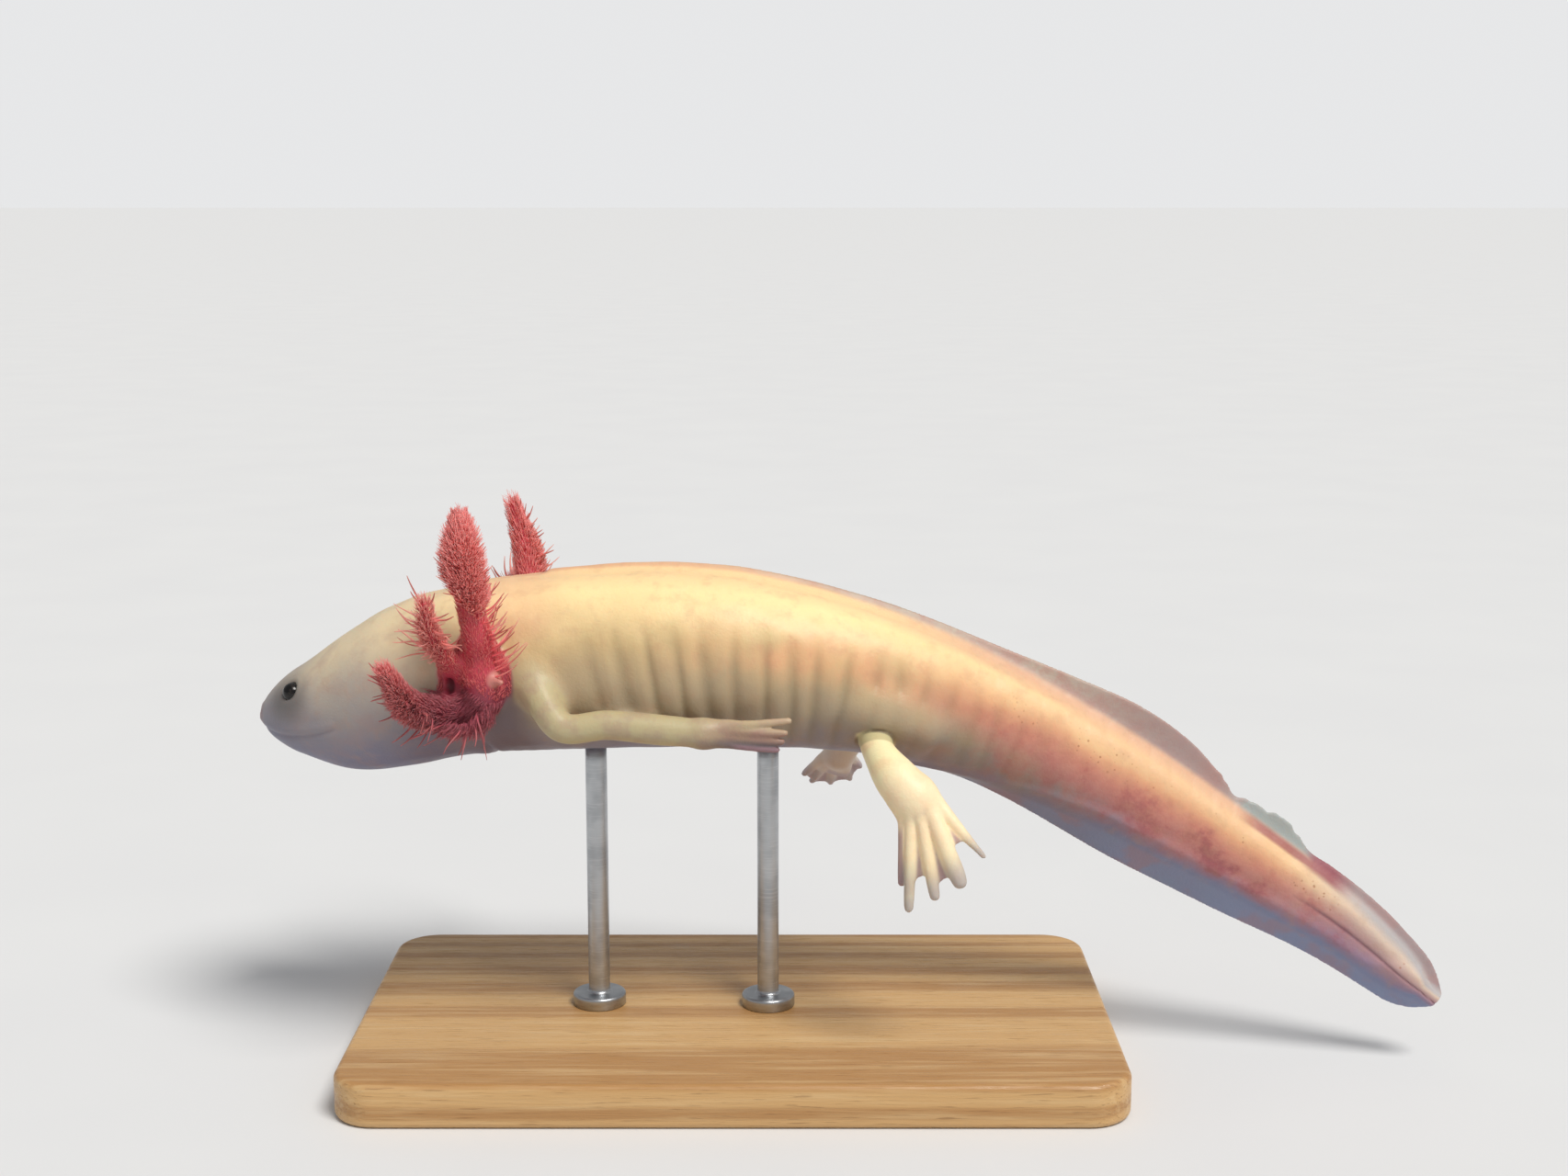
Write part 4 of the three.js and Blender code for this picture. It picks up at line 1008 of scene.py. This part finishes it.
class Paint:
    """A material's nodes. Its values are called by name in masks and tones.

    A mask is a value's name, or (name, low, high) for a smooth step between the two. A tone is a
    colour's hexadecimal name, a colour socket, or a list: a tone and the tints laid over it. A
    tint is (tone, most, masks): it covers by `most` times the product of the masks.
    """

    def __init__(self, name, **sockets):
        self.material = bpy.data.materials.new(name)
        self.material.use_nodes = True
        self.tree = self.material.node_tree
        self.shader = self.tree.nodes["Principled BSDF"]
        self.values = {}
        self.set(self.shader, **sockets)

    def feed(self, socket, value):
        if isinstance(value, bpy.types.NodeSocket):
            self.tree.links.new(value, socket)
        elif socket.type == "RGBA":
            socket.default_value = (*value, 1)
        else:
            socket.default_value = value

    def set(self, node, **inputs):
        for label, value in inputs.items():
            self.feed(node.inputs[label.replace("_", " ")], value)

    def node(self, kind, settings=None, **inputs):
        made = self.tree.nodes.new(kind)
        for label, value in (settings or {}).items():
            setattr(made, label, value)
        self.set(made, **inputs)
        return made

    def marks(self, attributes):
        """Names the values of the mesh's attributes, up to three to each."""
        for attribute, names in attributes.items():
            found = self.node("ShaderNodeAttribute", {"attribute_name": attribute})
            parts = self.node("ShaderNodeSeparateXYZ", Vector=found.outputs["Vector"])
            self.values.update((name, parts.outputs[axis]) for name, axis in zip(names, "XYZ"))

    def place(self, scale=(1, 1, 1), shift=(0, 0, 0)):
        """Places in millimetres, each axis times its scale, after a shift in metres."""
        where = self.node("ShaderNodeTexCoord").outputs["Object"]
        scale, shift = ([part / MM for part in parts] for parts in (scale, shift))
        return self.node("ShaderNodeMapping", Vector=where, Scale=scale, Location=shift).outputs[0]

    def noise(self, name, size, detail=3.0, roughness=0.55, scale=(1, 1, 1)):
        """Names a soft noise from 0 to 1, with blotches of about the size in millimetres."""
        made = self.node("ShaderNodeTexNoise", Vector=self.place(scale), Scale=1 / size)
        self.set(made, Detail=detail, Roughness=roughness)
        self.values[name] = made.outputs["Fac"]

    def math(self, operation, *values):
        made = self.node("ShaderNodeMath", {"operation": operation})
        for socket, value in zip(made.inputs, values):
            self.feed(socket, value)
        return made.outputs[0]

    def step(self, name, low, high):
        """0 up to low and 1 from high on, with a smooth rise. It falls if low > high."""
        smooth_step = {"interpolation_type": "SMOOTHSTEP"}
        ends = (low, high, 0.0, 1.0) if low < high else (high, low, 1.0, 0.0)
        made = self.node("ShaderNodeMapRange", smooth_step, Value=self.values[name])
        self.set(made, From_Min=ends[0], From_Max=ends[1], To_Min=ends[2], To_Max=ends[3])
        return made.outputs[0]

    def mask(self, most, *masks):
        total = None
        for mask in masks:
            part = self.values[mask] if isinstance(mask, str) else self.step(*mask)
            total = part if total is None else self.math("MULTIPLY", total, part)
        return total if most == 1 else self.math("MULTIPLY", total, most)

    def ramp(self, name, stops):
        """A colour for each value from -1 to 1."""
        scaled = self.math("MULTIPLY_ADD", self.values[name], 0.5, 0.5)
        made = self.node("ShaderNodeValToRGB", Fac=scaled)
        bar = made.color_ramp.elements
        while len(bar) < len(stops):
            bar.new(0.5)
        for element, (at, colour) in zip(bar, stops.items()):
            element.position = at / 2 + 0.5
            element.color = (*rgb(colour), 1)
        return made.outputs["Color"]

    def tone(self, tone):
        if isinstance(tone, str):
            return rgb(tone)
        if not isinstance(tone, list):
            return tone
        colour = self.tone(tone[0])
        for over, most, *masks in tone[1:]:
            made = self.node("ShaderNodeMix", {"data_type": "RGBA"})
            for index, value in ((0, self.mask(most, *masks)), (6, colour), (7, self.tone(over))):
                self.feed(made.inputs[index], value)
            colour = made.outputs[2]
        return colour

    def finish(self, tone, bumps=None, depth=0.0):
        """Sets the colour, and relief of a depth in millimetres, and gives the material."""
        self.set(self.shader, Base_Color=self.tone(tone))
        if bumps:
            made = self.node("ShaderNodeBump", Height=bumps, Distance=depth * MM)
            self.set(self.shader, Normal=made.outputs[0])
        return self.material


def rgb(text):
    """A colour in linear light from its usual hexadecimal name."""
    levels = [int(text[i : i + 2], 16) / 255 for i in (1, 3, 5)]
    return tuple(v / 12.92 if v < 0.04045 else ((v + 0.055) / 1.055) ** 2.4 for v in levels)


# The body's colours from the belly at -1 to the back at 1: of the trunk, head, tail and its tip.
# The grey-lilac below, the darker lower flanks and the duller head are partly painted shade, and
# the bright cream band high on the back is partly a painted highlight.
BODY_TONES = [
    {
        -1: "#837f94", -0.8: "#8c8488", -0.45: "#a5957e", -0.1: "#b8a280", 0.3: "#cdb283",
        0.6: "#ecd09a", 0.85: "#fde0a6", 1: "#f4d09c",
    },
    {-1: "#727290", -0.6: "#7d7a8c", -0.1: "#9a9190", 0.4: "#b4a89a", 0.8: "#d8c6a6", 1: "#dccaa8"},
    {
        -1: "#8086a4", -0.8: "#958094", -0.45: "#b8827e", 0: "#d08e7a", 0.35: "#dfa680",
        0.58: "#ecc290", 0.82: "#f4ce9a", 1: "#dcb090",
    },
    {-1: "#7f84a2", -0.6: "#968096", -0.2: "#ae888e", 0.2: "#c4a49c", 0.6: "#d8c2b0", 1: "#b8b2b2"},
]
# Noises: the size of their blotches in millimetres, their detail and for one its roughness.
SKIN_NOISES = {
    "broad": (9, 3), "fine": (2.2, 4), "clouds": (14, 3), "flush": (6, 4), "mottle": (6.5, 4, 0.65),
    "faint": (3, 4), "blush": (7, 3), "patches": (4, 3), "grain": (0.5, 2),
}
SPECK_PITCH = 1.1
# The masks of regions: upper flanks, the tail's side, all behind the middle, and the hands.
UPPER = (("rise", 0.85, 0.35), ("rise", -0.2, 0.2), ("along", 0.3, 0.42), ("along", 0.66, 0.55))
TAIL_SIDE = (("along", 0.5, 0.62), ("along", 0.95, 0.88), ("rise", 0.45, 0), ("rise", -1.05, -0.6))
HIND = ("along", 0.42, 0.46)
HAND = ("limb", ("along", 0.34, 0.4), ("along", 0.45, 0.43))
PATCHY = ("patches", 0.42, 0.66)
# A dark red spot on the fin near the tail's tip, and the streak before it.
SPOT = (("along", 0.846, 0.862), ("along", 0.9, 0.876), ("rise", 0.75, 1), ("rise", 1.7, 1.2))
STREAK = (("along", 0.785, 0.815), ("along", 0.885, 0.86), ("rise", 0.84, 0.95), ("rise", 1.18, 1.04))
# Fins: greyish, as if half clear, darker to the rear, bluer where frayed, and blue-grey below as painted
# shade.
FIN_TONE = [
    "#b0a496",
    ("#ad9488", 1, ("fine", 0.4, 0.65)),
    ("#957e82", 0.8, ("along", 0.58, 0.74)),
    (["#8292ae", ("#8a88a6", 1, "broad")], 1, ("rise", 0, -0.5)),
    ("#97a3a3", 1, ("along", 0.76, 0.79), ("along", 0.87, 0.85), ("rise", 0.5, 1)),
    ("#a67c78", 0.4, ("broad", 0.5, 0.62)),
]
SKIN_TINTS = [
    # Pink of the blood under the skin, on the upper flanks and the hips.
    ("#eab184", 0.6, *UPPER, ("clouds", 0.35, 0.65)),
    ("#e2a07c", 0.42, *UPPER, ("flush", 0.44, 0.7)),
    # A thin pink line along the top of the back, and a duller back over the tail.
    ("#cc9078", 0.55, ("side", 0.1, 0.04), ("rise", 0.9, 1), ("along", 0.18, 0.26), ("along", 0.6, 0.5)),
    ("#dcae8c", 0.5, ("along", 0.56, 0.72), ("along", 0.88, 0.8), ("rise", 0.3, 0.7)),
    # Red blotches on the tail's lower half, soft ones with darker hearts.
    ("#b4625e", 0.5, ("mottle", 0.34, 0.64), *TAIL_SIDE),
    ("#8e4450", 0.6, ("mottle", 0.5, 0.7), *TAIL_SIDE, ("along", 0.55, 0.8)),
    # Fine brown specks along the tail's side.
    (
        "#a0603e", 0.6, ("specks", 0.25, 0.12), ("along", 0.56, 0.64), ("broad", 0.45, 0.56),
        ("rise", 0.05, 0.2), ("rise", 0.75, 0.5),
    ),
    # A faint mottle all over the body.
    ("#b98e70", 0.2, ("faint", 0.48, 0.72)),
    # Uneven pink and grey on the head, pink behind the gills, and a grey throat that is painted shade.
    ("#a5837c", 0.3, ("blush", 0.48, 0.68), ("along", 0.24, 0.16)),
    ("#e2a488", 0.28, ("along", 0.185, 0.21), ("along", 0.275, 0.235), ("rise", 0.3, 0.6)),
    ("#655a6c", 0.6, ("along", 0.1, 0.16), ("along", 0.24, 0.21), ("rise", 0.1, -0.5)),
    # Painted shadow of the gills: the chest is greyer between the gills and the arm.
    ("#6a5a60", 0.75, ("along", 0.18, 0.205), ("along", 0.245, 0.215), ("rise", 0.25, -0.2)),
    # Painted shade in the costal grooves and in the tail's furrow.
    ("#857658", 0.22, "groove"),
    ("#704050", 0.6, "furrow"),
    # Limbs: cream above, pink and grey towards the toes. The duller forelegs and paler hind legs are
    # painted shade and light.
    (["#bbae86", ("#b29e80", 1, PATCHY), (["#fff2c0", ("#fbe2b0", 1, PATCHY)], 1, HIND)], 0.9, "limb"),
    ("#f4dab8", 0.6, "foot", HIND),
    (["#b09a80", ("#a69ea2", 1, HIND)], 0.8, "toe"),
    (["#bca286", ("#b08e80", 1, PATCHY)], 0.5, *HAND),
    # Painted shade on the lower part of the hands.
    ("#8e6a60", 0.7, *HAND, ("rise", -0.5, -0.58)),
    ("#676168", 0.8, *HAND, ("rise", -0.62, -0.7)),
    # Painted shade between the digits.
    ("#9c7a82", 0.75, "web"),
    # Painted shade: the far hind leg is greyer, the near one's root duller, with a dark crease round it.
    ("#ac9ea8", 0.55, "limb", ("across", -0.6, -1), HIND),
    ("#c4b98c", 0.85, "shaded", HIND, ("across", -1, -0.6)),
    ("#6b5744", 0.8, "crease"),
    (FIN_TONE, 0.9, "fin"),
    ("#90384a", 1, "spot"),
    # Gills: a soft seam round their roots and crimson flesh, both darker low down as painted shade.
    (["#86646e", ("#e4a898", 1, ("rise", -0.1, 0.4))], 0.5, ("gill", 0, 0.3)),
    (
        ["#cc4858", ("#b83646", 1, ("fine", 0.35, 0.7)), ("#84384a", 0.9, ("rise", 0.3, -0.2))],
        1, ("gill", 0.1, 0.9),
    ),
    ("#cc8a7e", 0.8, "knob"),
    # Painted shade in the slit before each gill.
    ("#5a1c28", 0.85, "slit"),
    # The mouth's line and the throat's fold darker and the snout grey, all painted shade; the pink tip
    # of the snout, nostrils and the grey shade round the eyes.
    ("#74606a", 0.22, "mouth"),
    ("#686a80", 0.68, ("along", 0.09, 0.01)),
    ("#a87c78", 0.5, ("along", 0.014, 0)),
    ("#b05c5c", 0.7, "nostril"),
    ("#55524f", 0.68, "eye"),
]


def skin_material():
    paint = Paint(
        "axolotl_skin",
        Roughness=0.5,
        Specular_IOR_Level=0.4,
        Subsurface_Weight=0.2,
        Subsurface_Scale=0.0018,
        Subsurface_Radius=(1.0, 0.42, 0.28),
        Coat_Weight=0.08,
        Coat_Roughness=0.3,
    )
    paint.marks(SKIN_MARKS)
    for name, settings in SKIN_NOISES.items():
        paint.noise(name, *settings)
    values = paint.values
    dots = paint.node("ShaderNodeTexVoronoi", Vector=paint.place(), Scale=1 / SPECK_PITCH)
    values["specks"] = dots.outputs["Distance"]
    values["side"] = paint.math("ABSOLUTE", values["across"])
    values["spot"] = paint.math("MAXIMUM", paint.mask(0.8, *SPOT), paint.mask(0.7, *STREAK))
    # The height on the body with soft unevenness, and the way along it, less towards the belly.
    values["uneven"] = paint.math("SUBTRACT", values["broad"], 0.5)
    uneven = paint.mask(0.5, "uneven", ("rise", 1.0, 0.6))
    values["level"] = paint.math("ADD", values["rise"], uneven)
    slant = paint.mask(0.17, ("rise", 0.2, -0.8))
    values["slanted"] = paint.math("SUBTRACT", values["along"], slant)
    trunk, head, tail, tip = (paint.ramp("level", stops) for stops in BODY_TONES)
    body = [trunk, (head, 1, ("along", 0.24, 0.1)), (tail, 1, ("slanted", 0.44, 0.6))]
    body.append((tip, 1, ("along", 0.82, 0.93)))
    bumps = paint.math("ADD", paint.mask(0.5, "grain"), paint.mask(0.5, "fine"))
    return paint.finish(body + SKIN_TINTS, bumps, 0.12)


FILAMENT_TONE = [
    "#f4646c",
    ("#fc8c88", 1, "chance"),
    ("#f6a69c", 0.4, ("t", 0.2, 1)),
    # Painted shade: darker towards the comb's start, and the bottom gills darker still.
    ("#d04452", 0.45, ("share", 0.5, 0.1)),
    ("#8c4256", 0.75, "bottom", ("share", 1.15, 0.4)),
    ("#faaa9e", 0.55, "middle", ("share", 0.05, 0.4)),
    # The long ones have dark or pale ends, by chance, darker on the bottom gills as painted shade.
    (
        ["#9c5a4c", ("#dc9a8a", 1, ("chance", 0.48, 0.52)), ("#8c4a50", 0.8, "bottom")],
        0.75, "long", ("t", 0.15, 0.8),
    ),
    ("#d05a60", 0.2, ("mottle", 0.45, 0.7)),
]


def filament_material():
    paint = Paint(
        "gill_filaments",
        Roughness=0.5,
        Subsurface_Weight=0.3,
        Subsurface_Scale=0.0008,
        Subsurface_Radius=(1.0, 0.3, 0.25),
    )
    paint.marks(FILAMENT_MARKS)
    paint.noise("mottle", 0.7, 2)
    return paint.finish(FILAMENT_TONE, paint.values["mottle"], 0.04)


def eye_material():
    """A black pupil in a dark brown, mottled ring."""
    paint = Paint("eye", Roughness=0.16, Specular_IOR_Level=0.35)
    paint.marks({"iris": ("ring",)})
    paint.noise("mottle", 0.35)
    iris = ["#0e0c0e", ("#2a2420", 1, ("mottle", 0.4, 0.65))]
    return paint.finish(["#040304", (iris, 1, ("ring", 0.42, 0.6))], paint.values["mottle"], 0.02)


def oak_material():
    paint = Paint("oiled_oak", Coat_Weight=0.1, Coat_Roughness=0.35)
    where = paint.place((0.02, 1, 1), (0, 0.023, 0.06))
    rings = {"wave_type": "RINGS", "rings_direction": "X"}
    growth = paint.node("ShaderNodeTexWave", rings, Vector=where, Scale=0.07)
    paint.set(growth, Distortion=9.0, Detail=2.0, Detail_Scale=0.5)
    paint.values["growth"] = growth.outputs["Fac"]
    paint.noise("pores", 0.4, scale=(0.05, 1, 1))
    paint.noise("streaks", 1.6, 4, scale=(0.04, 1, 1))
    paint.set(paint.shader, Roughness=paint.mask(0.75, ("pores", 0.0, 0.9)))
    tone = [
        "#c9a06a",
        ("#b08350", 1, ("growth", 0.3, 0.9)),
        ("#d9b988", 0.5, ("streaks", 0.45, 0.7)),
        ("#7c5630", 0.5, ("pores", 0.58, 0.7)),
    ]
    return paint.finish(tone, paint.values["pores"], 0.12)


def steel_material():
    paint = Paint("satin_steel", Metallic=1.0)
    paint.noise("turning", 0.16, 2, scale=(0.04, 0.04, 1))
    paint.noise("clouds", 5, 2)
    paint.set(paint.shader, Roughness=paint.mask(0.6, ("turning", -1.2, 1.8)))
    tone = ["#b9bcbf", ("#a6a9ad", 1, ("clouds", 0.35, 0.65)), ("#d2d4d6", 0.4, ("turning", 0.5, 0.7))]
    return paint.finish(tone, paint.values["turning"], 0.012)


def floor_material():
    paint = Paint("pale_floor", Roughness=0.7, Specular_IOR_Level=0.2)
    paint.noise("clouds", 60, 2)
    return paint.finish(["#dfe0e1", ("#dadbdd", 1, "clouds")])


# ---------------------------------------------------------------- eyes and stand

CORNEA = {"rise": 0.06, "half": 0.6, "inset": 0.02}  # it stands a little proud of the ball
ROD = {"radius": 2.0, "foot": 2.4, "round": 0.6, "flare": 0.7, "chamfer": 0.15, "plain": 5, "sunk": 0.9}
BOARD = {"corner": 8.0, "edge": 1.2}


def make_eye(side, material):
    centre, outward = eye_seat(side)
    across = unit(np.cross(outward, UP))
    up = np.cross(across, outward)
    turn = np.linspace(0.02, math.pi - 0.02, 28)
    angle = full_turn(40)[:, None]
    circle = across * np.cos(angle) + up * np.sin(angle)
    radius = EYE["radius"] - CORNEA["inset"]
    bulge = radius * (1 + CORNEA["rise"] * hump(turn, CORNEA["half"]))
    rows = [centre + (outward * math.cos(a) + circle * math.sin(a)) * r for r, a in zip(bulge, turn)]
    points, *faces = loft(rows)
    ring = np.linalg.norm(np.cross(points - centre, outward), axis=1) / radius
    ring = np.where((points - centre) @ outward > 0, ring, 1.0)
    name = "eye_left" if side > 0 else "eye_right"
    piece = add_mesh(f"{name}_ball", points, faces, material, {"iris": [ring, ring, ring]})
    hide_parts(name)


def flat_circle(sides):
    angle = full_turn(sides)
    return np.stack([np.cos(angle), np.sin(angle), 0 * angle], -1)


def box_of(node):
    """The low and high corners of a CAD node in millimetres."""
    return (np.array(corner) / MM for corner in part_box(node))


def make_rod(node, material):
    """A rod and its round foot, turned in one piece. Its top is sunk a little into the belly."""
    low, high = box_of(node)
    foot, bottom = (high[0] - low[0]) / 2, low[2]
    top = bottom + ROD["foot"]
    c, s = (1 - f(np.linspace(0, QUARTER, 7)) for f in (np.cos, np.sin))
    plain = np.linspace(bottom + ROD["plain"], high[2] + ROD["sunk"], 12)
    profile = [(foot - ROD["chamfer"], bottom), (foot, bottom + ROD["chamfer"])]
    profile += [*zip(foot - ROD["round"] * c, top - ROD["round"] * s)]
    profile += [*zip(ROD["radius"] + ROD["flare"] * s, top + ROD["flare"] * c)]
    profile += [(ROD["radius"], z) for z in plain]
    centre = (low + high) / 2
    rings = [np.array([*centre[:2], z]) + flat_circle(64) * r for r, z in profile]
    points, *faces = loft(rings)
    piece = add_mesh(f"{node}_turned", points, faces, material)
    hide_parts(node)


def make_board(material):
    """The flat base: a board with round corners and rounded edges."""
    low, high = box_of("stand_base")
    centre, half = (low + high) / 2, (high - low) / 2
    angle = np.concatenate([np.linspace(0, QUARTER, 13) + k * QUARTER for k in range(4)])
    way = np.stack([np.cos(angle), np.sin(angle)], -1)
    sign = np.repeat([(1, 1), (-1, 1), (-1, -1), (1, -1)], 13, axis=0)
    turn = np.linspace(0, QUARTER, 7)
    c, s = (BOARD["edge"] * (1 - f(turn)) for f in (np.cos, np.sin))
    levels = [*zip(s, low[2] + c), *zip(c, high[2] - s)]
    rings = []
    for inset, z in levels:
        corners = centre[:2] + sign * (half[:2] - BOARD["corner"]) + (BOARD["corner"] - inset) * way
        rings.append(np.column_stack([corners, np.full(len(angle), z)]))
    points, *faces = loft(rings)
    piece = add_mesh("stand_board", points, faces, material)
    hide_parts("stand_base")


# ---------------------------------------------------------------- stage, light and camera

FLOOR_RADII = (30, 100, 300, 1000, 3000, 10000, 30000, 100000)
SUN = {"energy": 2.75, "width": 24, "colour": (1.0, 0.975, 0.93), "towards": (-0.42, 0.5, -1)}
SKY = {"colour": (0.985, 0.99, 1.0, 1), "light": 0.4, "seen": 0.81}
CAMERA = {"target": (0.009, 0, 0.088), "distance": 0.4, "elevation": 10}


def make_floor():
    """A pale round floor that reaches far past the horizon of every view."""
    sides = 96
    points, walls, caps = loft([flat_circle(sides) * r for r in FLOOR_RADII])
    # The faces look up. The outermost ring isn't closed, so its middle point goes.
    faces = walls[:, ::-1], caps[:sides, ::-1]
    floor = add_object("floor", new_mesh("floor", points[:-1], faces, floor_material()))


def add_lights():
    """A broad sun from above and an even pale sky."""
    sun = bpy.data.lights.new("key", "SUN")
    sun.energy = SUN["energy"]
    sun.angle = math.radians(SUN["width"])
    sun.color = SUN["colour"]
    lamp = add_object("key", sun)
    lamp.rotation_euler = Vector(SUN["towards"]).to_track_quat("-Z", "Y").to_euler()
    world = bpy.data.worlds.new("studio")
    world.use_nodes = True
    tree = world.node_tree
    background = tree.nodes["Background"]
    background.inputs["Color"].default_value = SKY["colour"]
    # The sky lights the model softly, and is seen itself as pale as the floor.
    seen = tree.nodes.new("ShaderNodeLightPath").outputs["Is Camera Ray"]
    strength = tree.nodes.new("ShaderNodeMapRange")
    tree.links.new(seen, strength.inputs["Value"])
    strength.inputs["To Min"].default_value = SKY["light"]
    strength.inputs["To Max"].default_value = SKY["seen"]
    tree.links.new(strength.outputs[0], background.inputs["Strength"])
    bpy.context.scene.world = world
    bpy.context.scene.view_settings.view_transform = "Standard"


def add_camera():
    """Ten degrees above the level, square to the animal's left side."""
    elevation = math.radians(CAMERA["elevation"])
    away = Vector((0, -math.cos(elevation), math.sin(elevation)))
    data = bpy.data.cameras.new("camera")
    data.lens = 50
    data.sensor_width = 36
    data.clip_start = 0.01
    camera = add_object("camera", data)
    camera.location = Vector(CAMERA["target"]) + away * CAMERA["distance"]
    camera.rotation_euler = (-away).to_track_quat("-Z", "Y").to_euler()
    bpy.context.scene.camera = camera


# ---------------------------------------------------------------- the scene

NODE_SLOTS = {s["node"]: s["material_slot"] for s in frame["record"]["subparts"]}

add_camera()
covered = make_skin(skin_material())
filaments = filament_material()
for seed, (name, gill) in enumerate(GILLS.items()):
    make_filaments(name, gill, filaments, seed, covered[name])
eyes = eye_material()
for side in (1, -1):
    make_eye(side, eyes)
make_board(oak_material())
steel = steel_material()
for node in ("stand_rod_front", "stand_rod_rear"):
    make_rod(node, steel)
make_floor()
add_lights()
